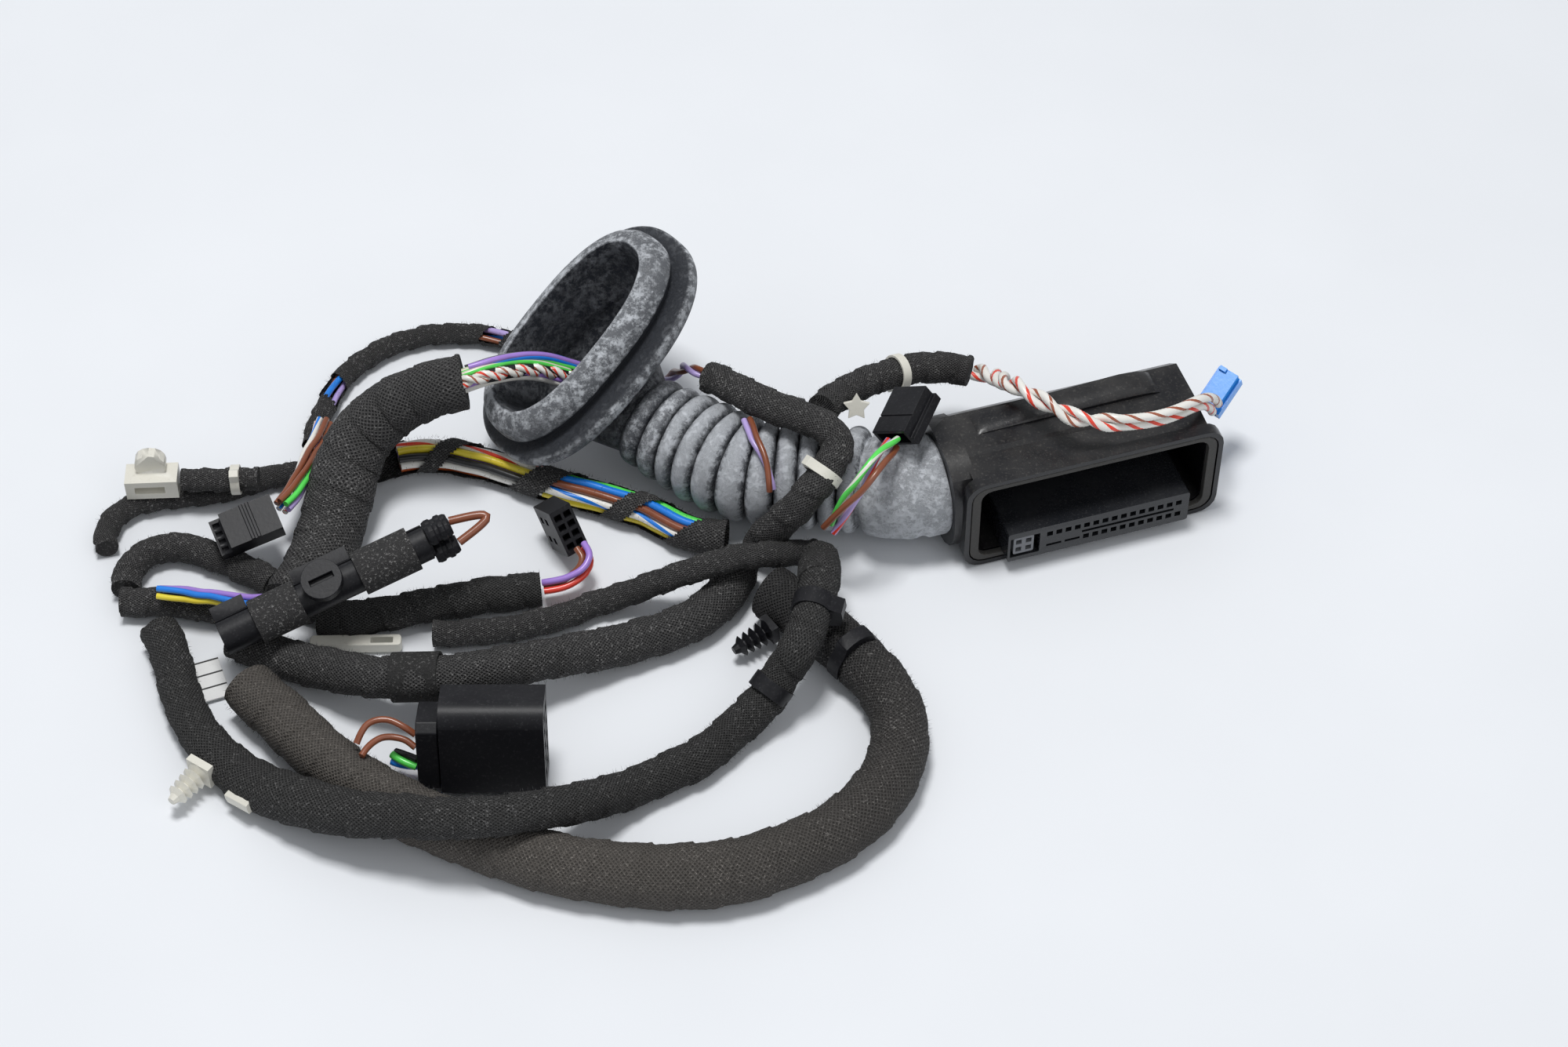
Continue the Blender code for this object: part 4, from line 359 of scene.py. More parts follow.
def elbow_loop(section, wall):
    """One row of the elbow under the flange, drawn in by a wall thickness."""
    near, far, half_long, shift = section
    long_axis, short_axis, normal = mouth_axes()
    middle = [(near[axis] + far[axis]) / 2.0 for axis in (0, 1)]
    reach = Vector((near[0] - far[0], near[1] - far[1]))
    half_short = reach.length / 2.0 - wall
    across = (short_axis * reach[0] + normal * reach[1]).normalized()
    centre = Vector(FLANGE_CENTRE) + long_axis * shift + short_axis * middle[0] + normal * middle[1]
    outline = oval(half_long - wall, half_short, NECK_POWER)
    return [centre + long_axis * u + across * v for u, v in outline]


def bellows_route():
    """The bellows' middle line, which ends square in the shell's collar."""
    face = RIM_OVERHANG - COLLAR_LENGTH
    ends = [shell_point(face + step, COLLAR_Y, COLLAR_Z) for step in (-4.5, 0.0, BOOT_INSERTION)]
    return BELLOWS_ROUTE + ends


def world(point):
    return (Vector(point) + LAYOUT_SHIFT) * MM


def link(name, mesh, material):
    piece = bpy.data.objects.new(name, mesh)
    scene.collection.objects.link(piece)
    mesh.materials.clear()
    mesh.materials.append(material)
    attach(piece, "root")
    return piece


def mesh_piece(name, points, faces, material, uvs=None, smooth=180.0):
    """A piece from points in millimetres; uvs holds one pair for each point."""
    mesh = bpy.data.meshes.new(name)
    mesh.from_pydata([world(point) for point in points], [], faces)
    if uvs:
        layer = mesh.uv_layers.new(name="along").data
        for loop in mesh.loops:
            layer[loop.index].uv = uvs[loop.vertex_index]
    shape = bmesh.new()
    shape.from_mesh(mesh)
    bmesh.ops.remove_doubles(shape, verts=shape.verts, dist=1e-7)
    bmesh.ops.recalc_face_normals(shape, faces=shape.faces)
    shape.to_mesh(mesh)
    shape.free()
    mesh.shade_smooth()
    if smooth < 180.0:
        mesh.set_sharp_from_angle(angle=math.radians(smooth))
    return link(name, mesh, material)


def stations(route, spacing, dense=False):
    """Even steps along a route: distance, point, direction and two square directions across it."""
    line = [Vector(point) for point in route] if dense else smooth_route(route)
    lengths = lengths_along(line)
    total = lengths[-1]
    count = max(2, round(total / spacing))
    side = None
    rows = []
    span = 1
    for step in range(count + 1):
        distance = total * step / count
        while span < len(lengths) - 1 and lengths[span] < distance:
            span += 1
        share = (distance - lengths[span - 1]) / max(lengths[span] - lengths[span - 1], 1e-9)
        centre = line[span - 1].lerp(line[span], min(1.0, max(0.0, share)))
        ahead = line[min(span + 1, len(line) - 1)]
        direction = (ahead - line[max(span - 2, 0)]).normalized()
        if side is None:
            side = direction.cross(Vector((0.0, 0.0, 1.0)))
            if side.length < 0.2:
                side = direction.cross(Vector((0.0, 1.0, 0.0)))
        side = (side - direction * side.dot(direction)).normalized()
        rows.append((distance, centre, direction, side, direction.cross(side)))
    return rows


def tube_faces(rows, segments, keep=None):
    """The faces of a tube, with an end cap on each end unless keep leaves openings in its wall."""
    stride = segments + 1
    faces = []
    for row in range(len(rows) - 1):
        for step in range(segments):
            if keep and not keep(rows[row][0], (step + 0.5) / segments):
                continue
            first = row * stride + step
            faces.append((first, first + 1, first + stride + 1, first + stride))
    if not keep:
        last = (len(rows) - 1) * stride
        faces.append(tuple(range(segments)))
        faces.append(tuple(range(last, last + segments)))
    return faces


def sweep(name, route, radius_at, material, spacing=0.5, segments=28, keep=None):
    """A tube whose radius is a function of the distance and the angle. Its UVs are in metres."""
    rows = stations(route, spacing)
    points, uvs = [], []
    for distance, centre, _, side, other in rows:
        for step in range(segments + 1):
            angle = 2.0 * math.pi * step / segments
            radius = radius_at(distance, angle)
            place = centre + (side * math.cos(angle) + other * math.sin(angle)) * radius
            place.z = max(place.z, TABLE_CLEARANCE)
            points.append(place)
            uvs.append((distance * MM, step / segments))
    faces = tube_faces(rows, segments, keep)
    return mesh_piece(name, points, faces, material, uvs, TUBE_EDGE)


def length_of(route):
    return lengths_along(smooth_route(route))[-1] * MM


# Materials

def new_material(name):
    material = bpy.data.materials.new(name)
    material.use_nodes = True
    tree = material.node_tree
    return material, tree, tree.nodes["Principled BSDF"]


def add(tree, kind, **settings):
    node = tree.nodes.new("ShaderNode" + kind)
    for key, value in settings.items():
        setattr(node, key, value)
    return node


def ramp(tree, source, low, high):
    """Maps a value from low to high onto 0 to 1."""
    node = add(tree, "MapRange")
    node.inputs["From Min"].default_value = low
    node.inputs["From Max"].default_value = high
    tree.links.new(source, node.inputs["Value"])
    return node.outputs["Result"]


def math_node(tree, operation, first, second=0.0):
    node = add(tree, "Math", operation=operation)
    for index, value in enumerate((first, second)):
        if isinstance(value, (int, float)):
            node.inputs[index].default_value = value
        else:
            tree.links.new(value, node.inputs[index])
    return node.outputs[0]


def plus(tree, first, second):
    return math_node(tree, "ADD", first, second)


def times(tree, first, second):
    return math_node(tree, "MULTIPLY", first, second)


def at_most_one(tree, value):
    return math_node(tree, "MINIMUM", value, 1.0)


def split_xyz(tree, node, output):
    """The three parts of a vector that a new node of this kind gives."""
    split = add(tree, "SeparateXYZ")
    tree.links.new(add(tree, node).outputs[output], split.inputs[0])
    return split.outputs


def mix(tree, factor, first, second):
    node = add(tree, "Mix", data_type="RGBA")
    for socket, value in ((node.inputs[0], factor), (node.inputs[6], first), (node.inputs[7], second)):
        if isinstance(value, (int, float)):
            socket.default_value = value
        elif isinstance(value, tuple):
            socket.default_value = (*value, 1.0)
        else:
            tree.links.new(value, socket)
    return node.outputs[2]


def noise_at(tree, scale, detail=3.0, roughness=0.6):
    where = add(tree, "TexCoord").outputs["Object"]
    node = add(tree, "TexNoise")
    node.inputs["Scale"].default_value = scale
    node.inputs["Detail"].default_value = detail
    node.inputs["Roughness"].default_value = roughness
    tree.links.new(where, node.inputs["Vector"])
    return node.outputs["Fac"]


def facing_up(tree):
    """1 where a face looks up, 0 where it looks sideways or down: dust settles by it."""
    return ramp(tree, split_xyz(tree, "NewGeometry", "Normal")["Z"], 0.1, 0.95)


def set_bump(tree, shader, height, depth):
    """Relief from a height, as deep as depth in millimetres."""
    node = add(tree, "Bump")
    node.inputs["Distance"].default_value = depth * MM
    tree.links.new(height, node.inputs["Height"])
    tree.links.new(node.outputs[0], shader.inputs["Normal"])


def dusty(name, base, dust, amount, roughness, bump=0.05, specular=0.5):
    """Moulded plastic or rubber with settled dust, fine grain and uneven gloss."""
    material, tree, shader = new_material(name)
    broad = ramp(tree, noise_at(tree, 60.0, 4.0), 0.38, 0.68)
    specks = ramp(tree, noise_at(tree, 1400.0, 2.0, 0.7), 0.56, 0.74)
    settled = times(tree, facing_up(tree), amount)
    spots = times(tree, specks, plus(tree, settled, 0.16))
    shade = plus(tree, times(tree, broad, settled), times(tree, spots, 0.9))
    tree.links.new(mix(tree, at_most_one(tree, shade), base, dust), shader.inputs["Base Color"])
    rough = plus(tree, times(tree, shade, 0.35), roughness)
    tree.links.new(at_most_one(tree, rough), shader.inputs["Roughness"])
    shader.inputs["Specular IOR Level"].default_value = specular
    set_bump(tree, shader, noise_at(tree, 900.0, 3.0), bump)
    return material


def chalky(name, base, bloom):
    """Old rubber with a chalky bloom in broad patches, small islands and specks, and painted light.
    The first UV number scales the bloom by place: painted shade in folds, the groove and inside, a painted
    highlight on crests and the lip."""
    material, tree, shader = new_material(name)
    broad = ramp(tree, noise_at(tree, 55.0, 5.0, 0.65), 0.36, 0.62)
    islands = ramp(tree, noise_at(tree, 380.0, 8.0, 0.8), 0.45, 0.56)
    specks = ramp(tree, noise_at(tree, 1700.0, 2.0, 0.7), 0.60, 0.70)
    # painted light: the first UV number is low in folds, the groove and inside (painted shade) and high on
    # crests and the lip (painted highlight)
    painted_light_amount = split_xyz(tree, "TexCoord", "UV")["X"]
    patches = times(tree, islands, plus(tree, times(tree, broad, 0.65), 0.3))
    bloom_and_painted_light = times(tree, plus(tree, patches, times(tree, specks, 0.5)), painted_light_amount)
    # painted highlight: extra bloom colour where the first UV number is high, on crests and the lip
    painted_highlight = times(tree, math_node(tree, "POWER", painted_light_amount, 3.0), 0.2)
    bloom_and_painted_light = at_most_one(tree, plus(tree, bloom_and_painted_light, painted_highlight))
    tree.links.new(mix(tree, bloom_and_painted_light, base, bloom), shader.inputs["Base Color"])
    tree.links.new(plus(tree, times(tree, bloom_and_painted_light, 0.45), 0.42), shader.inputs["Roughness"])
    shader.inputs["Specular IOR Level"].default_value = 0.35
    set_bump(tree, shader, plus(tree, islands, noise_at(tree, 1300.0, 3.0)), 0.10)
    return material


def tape(name, base, lint, lint_amount=0.8, fade=None):
    """Coarse fleece tape: threads both ways, grainy fibres, a worn look in patches and specks of lint.
    Where it fades, it turns black between two distances along the bundle."""
    material, tree, shader = new_material(name)
    place = split_xyz(tree, "TexCoord", "UV")
    along = times(tree, place["X"], 2.0 * math.pi / THREAD_PITCH)
    round_it = times(tree, place["Y"], 2.0 * math.pi * THREADS_ROUND)
    slants = (plus(tree, along, round_it), math_node(tree, "SUBTRACT", along, round_it))
    weave = math_node(tree, "MAXIMUM", *(math_node(tree, "SINE", slant) for slant in slants))
    fibres = noise_at(tree, 1500.0, 3.0, 0.75)
    worn = ramp(tree, noise_at(tree, 38.0, 4.0), 0.35, 0.75)
    specks = times(tree, ramp(tree, fibres, 0.57, 0.66), lint_amount)
    fine = times(tree, ramp(tree, noise_at(tree, 3200.0, 2.0, 0.8), 0.55, 0.75), 0.3 * lint_amount)
    tone = times(tree, plus(tree, specks, fine), plus(tree, worn, 0.35))
    woven = times(tree, plus(tree, weave, 1.0), 0.10)
    tone = at_most_one(tree, plus(tree, tone, woven))
    if fade:
        share = ramp(tree, place["X"], *fade)
        base = mix(tree, share, base, (0.006, 0.006, 0.007))
        lint = mix(tree, share, lint, (0.20, 0.195, 0.19))
    tree.links.new(mix(tree, tone, base, lint), shader.inputs["Base Color"])
    shader.inputs["Roughness"].default_value = 0.85
    shader.inputs["Specular IOR Level"].default_value = 0.2
    set_bump(tree, shader, plus(tree, times(tree, weave, 0.40), times(tree, fibres, 1.3)), 0.5)
    return material


def pvc(name, colour, stripe=None, width=0.16):
    """Glossy wire insulation, with two stripes along it where the wire has them."""
    material, tree, shader = new_material(name)
    tint = ramp(tree, noise_at(tree, 160.0, 3.0), 0.3, 0.75)
    lighter = tuple(min(1.0, part * 1.5 + 0.01) for part in colour)
    shade = mix(tree, times(tree, tint, 0.35), colour, lighter)
    if stripe:
        halves = math_node(tree, "FRACT", times(tree, split_xyz(tree, "TexCoord", "UV")["Y"], 2.0))
        off = math_node(tree, "ABSOLUTE", math_node(tree, "SUBTRACT", halves, 0.5))
        shade = mix(tree, math_node(tree, "LESS_THAN", off, width), shade, stripe)
    tree.links.new(shade, shader.inputs["Base Color"])
    shader.inputs["Roughness"].default_value = 0.3
    shader.inputs["Coat Weight"].default_value = 0.25
    shader.inputs["Coat Roughness"].default_value = 0.2
    set_bump(tree, shader, noise_at(tree, 700.0, 2.0), 0.03)
    return material


BROWN = (0.22, 0.065, 0.028)
BLUE = (0.012, 0.20, 0.72)
YELLOW = (0.80, 0.62, 0.04)
RED = (0.72, 0.05, 0.03)
GREEN = (0.10, 0.70, 0.10)
WHITE = (0.80, 0.78, 0.72)
VIOLET = (0.34, 0.20, 0.60)
LILAC = (0.44, 0.34, 0.66)
BLACK = (0.012, 0.012, 0.013)
ORANGE = (0.62, 0.12, 0.03)
CREAM = (0.68, 0.66, 0.52)

WIRE_LOOKS = {
    "brown": (BROWN,), "blue": (BLUE,), "yellow": (YELLOW,), "red": (RED,), "green": (GREEN,),
    "white": (WHITE,), "violet": (VIOLET,), "lilac": (LILAC,), "black": (BLACK,), "orange": (ORANGE,),
    "white_red": (WHITE, (0.80, 0.06, 0.03), 0.15), "white_brown": (WHITE, (0.35, 0.10, 0.05), 0.12),
    "white_blue": (WHITE, BLUE), "green_cream": (GREEN, CREAM), "lilac_red": (LILAC, RED),
    "green_white": (GREEN, WHITE),
}
WIRES = {name: pvc("wire_" + name, *look) for name, look in WIRE_LOOKS.items()}
TAPE = tape("tape_black", (0.005, 0.005, 0.006), (0.34, 0.332, 0.325))
TAPE_BROWN = tape("tape_brownish", (0.062, 0.056, 0.050), (0.29, 0.265, 0.24), fade=(0.10, 0.235))
TAPE_PLAIN = tape("tape_plain", (0.006, 0.006, 0.006), (0.24, 0.236, 0.232), lint_amount=0.75)
FIBRE = dusty("loose_fibre", (0.05, 0.05, 0.052), (0.3, 0.3, 0.3), 0.5, 0.9)
HOUSING = dusty("housing_black", (0.006, 0.006, 0.008), (0.12, 0.112, 0.10), 0.22, 0.30, bump=0.04)
BLACK_PART = dusty(
    "small_black_plastic", (0.006, 0.006, 0.008), (0.10, 0.10, 0.105), 0.10, 0.42, bump=0.03, specular=0.28,
)
INSERT = dusty("insert_grey", (0.012, 0.013, 0.016), (0.10, 0.10, 0.10), 0.12, 0.25, bump=0.03)
MODULE = dusty("module_grey", (0.15, 0.155, 0.17), (0.3, 0.3, 0.3), 0.2, 0.4, bump=0.03)
SEAL = dusty("seal_dark", (0.045, 0.043, 0.040), (0.20, 0.19, 0.17), 0.35, 0.7, bump=0.08)
# the light grey is the rubber's bloom colour and also the colour of its painted highlight
RUBBER = chalky("grommet_rubber_grey", (0.028, 0.031, 0.038), (0.52, 0.54, 0.57))
CREAM_PART = dusty("clip_cream", (0.74, 0.72, 0.64), (0.50, 0.47, 0.40), 0.18, 0.38, bump=0.02)
BLUE_PART = dusty("connector_blue", (0.015, 0.27, 0.80), (0.25, 0.5, 0.8), 0.10, 0.30, bump=0.02)
LABEL = dusty("label_white", (0.80, 0.80, 0.79), (0.6, 0.6, 0.58), 0.2, 0.5, bump=0.02)


def rule_lines(material, direction, period, width):
    """Plain dark lines across a label, square to a direction in the floor's plane."""
    tree = material.node_tree
    shader = tree.nodes["Principled BSDF"]
    paper = shader.inputs["Base Color"].links[0].from_socket
    place = split_xyz(tree, "TexCoord", "Object")
    along = plus(tree, *(times(tree, place[axis], direction[axis] / period) for axis in (0, 1)))
    line = math_node(tree, "LESS_THAN", math_node(tree, "FRACT", along), width)
    tree.links.new(mix(tree, line, paper, (0.03, 0.03, 0.03)), shader.inputs["Base Color"])


rule_lines(LABEL, (0.36, -0.93), 0.0043, 0.12)


# Camera, light and floor

def look_at(obj, place, aim):
    obj.location = place
    obj.rotation_euler = (Vector(aim) - Vector(place)).to_track_quat("-Z", "Y").to_euler()
    scene.collection.objects.link(obj)


def area_light(name, place, aim, size, power):
    lamp = bpy.data.lights.new(name, "AREA")
    lamp.size = size
    lamp.energy = power
    look_at(bpy.data.objects.new(name, lamp), place, aim)


SENSOR = 36.0
FOCAL_SHARE = 4165.0 / 2000.0
CAMERA_TILT = math.radians(48.0)
CAMERA_DISTANCE = 0.854

aim = LAYOUT_SHIFT * MM
lens = bpy.data.cameras.new("photo_camera")
lens.sensor_width = SENSOR
lens.lens = SENSOR * FOCAL_SHARE
camera = bpy.data.objects.new("photo_camera", lens)
towards = Vector((0.0, -math.cos(CAMERA_TILT), math.sin(CAMERA_TILT)))
look_at(camera, aim + towards * CAMERA_DISTANCE, aim)
scene.camera = camera
scene.view_settings.view_transform = "Standard"

area_light("overhead", (-0.14, 0.02, 1.3), (-0.03, -0.05, 0.0), 0.32, 11.0)
area_light("fill", (0.7, -0.9, 0.9), (0.0, 0.0, 0.0), 1.0, 2.2)
sky = bpy.data.worlds.new("soft_room")
scene.world = sky
sky.use_nodes = True
background = sky.node_tree.nodes["Background"]
background.inputs["Color"].default_value = (0.93, 0.96, 1.0, 1.0)
background.inputs["Strength"].default_value = 0.40

floor_material, floor_tree, floor_shader = new_material("pale_table")
floor_tone = ramp(floor_tree, noise_at(floor_tree, 9.0, 3.0), 0.3, 0.7)
floor_colour = mix(floor_tree, floor_tone, (0.80, 0.82, 0.85), (0.83, 0.85, 0.88))
floor_tree.links.new(floor_colour, floor_shader.inputs["Base Color"])
floor_shader.inputs["Roughness"].default_value = 0.75
FLOOR_HALF = 4.0
FLOOR_DROP = 0.0004
corners = [(x * FLOOR_HALF, y * FLOOR_HALF, -FLOOR_DROP) for x, y in ((-1, -1), (1, -1), (1, 1), (-1, 1))]
floor_mesh = bpy.data.meshes.new("table_top")
floor_mesh.from_pydata(corners, [], [(0, 1, 2, 3)])
table_top = bpy.data.objects.new("table_top", floor_mesh)
scene.collection.objects.link(table_top)
floor_mesh.materials.append(floor_material)


# Taped bundles

LUMPS = 0.07
ROUGH_SKIN = 0.24


def tape_radius(diameter, pitch, step, seed, hand, thicker):
    """The radius of a wound tape: each turn ends in a small step, over a lumpy core with a rough skin."""
    base = diameter / 2.0 - step * 0.5

    def radius(distance, angle):
        turn = (distance / pitch + hand * angle / (2.0 * math.pi)) % 1.0
        across = Vector((0.0, math.cos(angle), math.sin(angle)))
        wave = noise.noise(across * 0.8 + Vector((distance / (diameter * 1.3) + seed, seed, 0.0)))
        fine = noise.noise(across * diameter / 2.4 + Vector((distance / 1.2, seed, 0.0)))
        grown = base * (1.0 + LUMPS * wave) + ROUGH_SKIN * fine + step * turn
        return grown + (thicker(distance) if thicker else 0.0)

    return radius


def taped(name, route, diameter, pitch, material, step=0.5, hand=1.0, thicker=None,
          keep=None):
    """A bundle wound with tape, in place of the model's."""
    radius = tape_radius(diameter, pitch, step, len(name) * 1.7, hand, thicker)
    piece = sweep(name + "_look", route, radius, material, keep=keep,
                  segments=36 if diameter > 7.0 else 26)
    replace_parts(piece, name)


def swell(middle, reach, amount, always=0.0):
    """Extra turns of tape: a growth of the radius round one distance along the bundle."""
    return lambda distance: always + amount * math.exp(-(((distance - middle) / reach) ** 2))


taped("trunk", TRUNK, TRUNK_DIAMETER, 9.0, TAPE, thicker=swell(48.0, 30.0, 1.7, 0.5))
taped("wide_bundle", WIDE_BUNDLE, WIDE_BUNDLE_DIAMETER, 10.5, TAPE_BROWN,
      thicker=swell(130.0, 60.0, 0.8, 0.4))
taped("front_loop", FRONT_LOOP, FRONT_LOOP_DIAMETER, 9.0, TAPE_PLAIN, thicker=swell(185.0, 28.0, 1.3, 0.4))
taped("middle_upper", MIDDLE_UPPER, MIDDLE_UPPER_DIAMETER, 8.0, TAPE)
taped("four_way_branch", FOUR_WAY_BRANCH, FOUR_WAY_BRANCH_DIAMETER, 9.0, TAPE_PLAIN, hand=-1.0)
taped("middle_lower", MIDDLE_LOWER, MIDDLE_LOWER_DIAMETER, 9.5, TAPE)
taped("cross_branch", CROSS_BRANCH, CROSS_BRANCH_DIAMETER, 9.0, TAPE, hand=-1.0)
taped("back_branch", BACK_BRANCH, BACK_BRANCH_DIAMETER, 8.0, TAPE)
taped("left_hook", LEFT_HOOK, LEFT_HOOK_DIAMETER, 7.0, TAPE)
taped("left_upper", LEFT_UPPER, LEFT_UPPER_DIAMETER, 8.0, TAPE, hand=-1.0)
taped("left_stub", LEFT_STUB, LEFT_STUB_DIAMETER, 7.0, TAPE)
taped("clip_stub", CLIP_STUB, CLIP_STUB_DIAMETER, 7.0, TAPE)


# Wires

WIRE_SEGMENTS = 14


def wire(name, route, diameter, look, dense=False, twist=0.0):
    """A round wire; its stripe turns round it by twist turns for each millimetre."""
    rows = stations(route, 0.9, dense)
    points, uvs = [], []
    for distance, centre, _, side, other in rows:
        for step in range(WIRE_SEGMENTS + 1):
            angle = 2.0 * math.pi * (step / WIRE_SEGMENTS + distance * twist)
            points.append(centre + (side * math.cos(angle) + other * math.sin(angle)) * diameter / 2.0)
            uvs.append((distance * MM, step / WIRE_SEGMENTS))
    faces = tube_faces(rows, WIRE_SEGMENTS)
    return mesh_piece(name, points, faces, WIRES[look], uvs, TUBE_EDGE)


def strand(route, reach, phase, turns, start=0.0, end=1.0, wander=0.0, until=1.0):
    """A line that winds round a route at a distance from its middle, between two shares of it."""
    rows = stations(route, 1.2)
    line = []
    for index, (distance, centre, _, side, other) in enumerate(rows):
        share = index / (len(rows) - 1)
        if not start <= share <= end:
            continue
        angle = 2.0 * math.pi * (phase + turns * min(share / until, 1.0))
        out = reach + wander * noise.noise(Vector((distance / 9.0, phase * 7.0, 0.0)))
        line.append(centre + (side * math.cos(angle) + other * math.sin(angle)) * out)
    return line


def wires_along(name, route, looks, reach, diameter, turns, start=0.0, end=1.0, wander=0.0, until=1.0):
    """One wire for each look, spread evenly round a route."""
    made = []
    for index, look in enumerate(looks):
        line = strand(route, reach, index / len(looks), turns, start, end, wander, until)
        made.append(wire(f"{name}_{index + 1}", line, diameter, look, dense=True, twist=0.02 + 0.02 * turns))
    return made


def loose_wires(node, route, looks, diameter, turns, whole, declared=True, wander=0.0, until=1.0):
    """Wires that lie round a node's middle line and stand for it."""
    reach = (whole - diameter) / 2.0
    made = wires_along(node + "_wire", route, looks, reach, diameter, turns, wander=wander, until=until)
    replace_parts(made[0], node)
    for index, piece in enumerate(made if declared else ()):
        line = strand(route, reach, index / len(looks), turns, wander=wander, until=until)


# Two bundles whose tape is open over wires. The underside stays covered in both.

HALF_OPEN = ((9.0, 23.0), (29.0, 47.0), (55.0, 77.0), (83.0, 96.0))
HALF_SLANT = 17.0 * 1.3
BACK_OPEN = ((68.0, 76.0, 6.0), (17.0, 23.0, 8.0))


def half_taped_shows(distance, share):
    """Whether the tape covers this place: a slanting band between two open stretches does."""
    slanted = distance + HALF_SLANT * (share - 0.7)
    return not (0.42 < share < 0.98 and any(low < slanted < high for low, high in HALF_OPEN))


def back_loop_shows(distance, share):
    """The same for the back loop, where each opening has its own slant."""
    opened = (low < distance + slant * share < high for low, high, slant in BACK_OPEN)
    return not (0.5 < share < 0.95 and any(opened))


half_wires = wires_along(
    "half_wire_right", HALF_TAPED,
    ["black", "brown", "white", "yellow", "white_blue", "brown", "blue", "green"],
    2.9, 2.2, 0.12, 0.02, 0.52, wander=0.3,
)
half_wires += wires_along(
    "half_wire_left", HALF_TAPED,
    ["black", "brown", "orange", "white", "black", "yellow", "white_red", "white_red"],
    2.9, 2.1, 0.12, 0.50, 0.93, wander=0.6,
)
half_wires += wires_along(
    "half_core", HALF_TAPED, ["violet", "white_brown", "black"], 1.1, 2.1, 1.0, 0.05, 0.93,
)
taped("half_taped", HALF_TAPED, HALF_TAPED_DIAMETER, 9.0, TAPE, step=0.3, keep=half_taped_shows)
back_wires = wires_along("back_loop_wire", BACK_LOOP, ["blue", "brown", "lilac"], 1.5, 1.7, 1.0, 0.05, 0.95)
taped("back_loop", BACK_LOOP, BACK_LOOP_DIAMETER, 7.0, TAPE, keep=back_loop_shows)

loose_wires("stub_wires", STUB_WIRES, ["yellow", "black", "violet", "blue"], 1.6, 0.2, 4.2, wander=0.3)
loose_wires("pair_back", PAIR_BACK, ["lilac", "brown"], 1.6, 3.2, 3.2)
loose_wires("pair_over", PAIR_OVER, ["lilac", "brown"], 1.6, 0.4, 3.2, declared=False)
loose_wires("blue_pair", BLUE_PAIR, ["white_red", "white_brown"], 2.4, 3.2, 5.0, until=0.6)
loose_wires("three_way_wires", THREE_WAY_WIRES, ["lilac_red", "brown", "green_white"], 1.7, 0.5, 5.0)
loose_wires("four_way_wires", FOUR_WAY_WIRES, ["red", "brown", "violet"], 1.8, 0.3, 4.4, declared=False)
loose_wires("five_way_wires", FIVE_WAY_WIRES,
            ["white_red", "lilac", "green", "brown", "brown", "white_blue"], 1.6, 0.3, 5.2)

for node, route in (("brown_loop_a", BROWN_LOOP_A), ("brown_loop_b", BROWN_LOOP_B)):
    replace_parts(wire(node + "_look", route, BROWN_LOOP_DIAMETER, "brown"), node)

# The end of the splice holder: a dark seat for the plugs, and the wire from one plug to the next
holder_line = Vector(HOLDER_END) - Vector(HOLDER_START)
holder = frame_matrix(HOLDER_START, holder_line, HOLDER_SIDE)
plugs = [Vector((math.cos(turn), math.sin(turn))) * PLUG_CIRCLE for turn in map(math.radians, (210.0, 330.0))]
plug_loop = []
for step in range(PLUG_LOOP_STEPS + 1):
    share = step / PLUG_LOOP_STEPS
    across = plugs[0].lerp(plugs[1], share)
    reach = holder_line.length + 2.0 * SEAT_GAP + PLUG_LENGTH + PLUG_LOOP_REACH * math.sin(math.pi * share)
    plug_loop.append(holder @ Vector((reach, across.x, across.y)))
plug_seat = [holder @ Vector((holder_line.length + reach, 0.0, 0.0)) for reach in (-0.6, 0.0, 0.6)]
sweep("plug_seat", plug_seat, lambda distance, angle: PLUG_SEAT_RADIUS, BLACK_PART,
      segments=32)
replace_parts(wire("plug_wire_loop_look", plug_loop, PLUG_WIRE_DIAMETER, "brown"), "plug_wire_loop")
lower = wires_along("lower_wire", LOWER_WIRES, ["orange", "blue", "green", "black"], 1.3, 1.9, 0.2)
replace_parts(lower[0], "lower_wires")

# Wires that cross the grommet's mouth and go down its neck: look, diameter, and how far each lies
# from the bundle's middle at the mouth and in the neck
MOUTH_WIRES = (
    ("violet", 1.5, (0.5, 1.3, 4.9), (1.8, 2.0, 2.2)),
    ("blue", 1.6, (1.3, 1.9, 3.6), (2.4, 1.2, 1.2)),
    ("blue", 1.6, (2.3, 3.6, 3.0), (3.0, 2.2, 0.5)),
    ("black", 2.1, (-0.6, 1.9, 3.4), (0.6, 1.9, 2.2)),
    ("green_cream", 1.7, (-1.9, 0.4, 3.4), (-0.6, 0.6, 2.8)),
    ("green_cream", 1.7, (-2.7, -1.2, 3.0), (-1.4, -0.5, 2.6)),
    ("black", 1.9, (-2.4, -2.6, 1.6), (-0.6, -1.5, 1.4)),
    ("white_blue", 1.8, (-3.1, -3.6, -1.9), (-0.6, -2.9, -1.3)),
    ("violet", 1.5, (-2.9, -3.2, -0.6), (-0.4, -2.8, 0.0)),
    ("yellow", 1.5, (-1.2, -1.6, -0.4), (0.0, -1.0, 0.0)),
)
MOUTH_TWIST_SHIFT = Vector((-1.8, -3.9, 3.1))
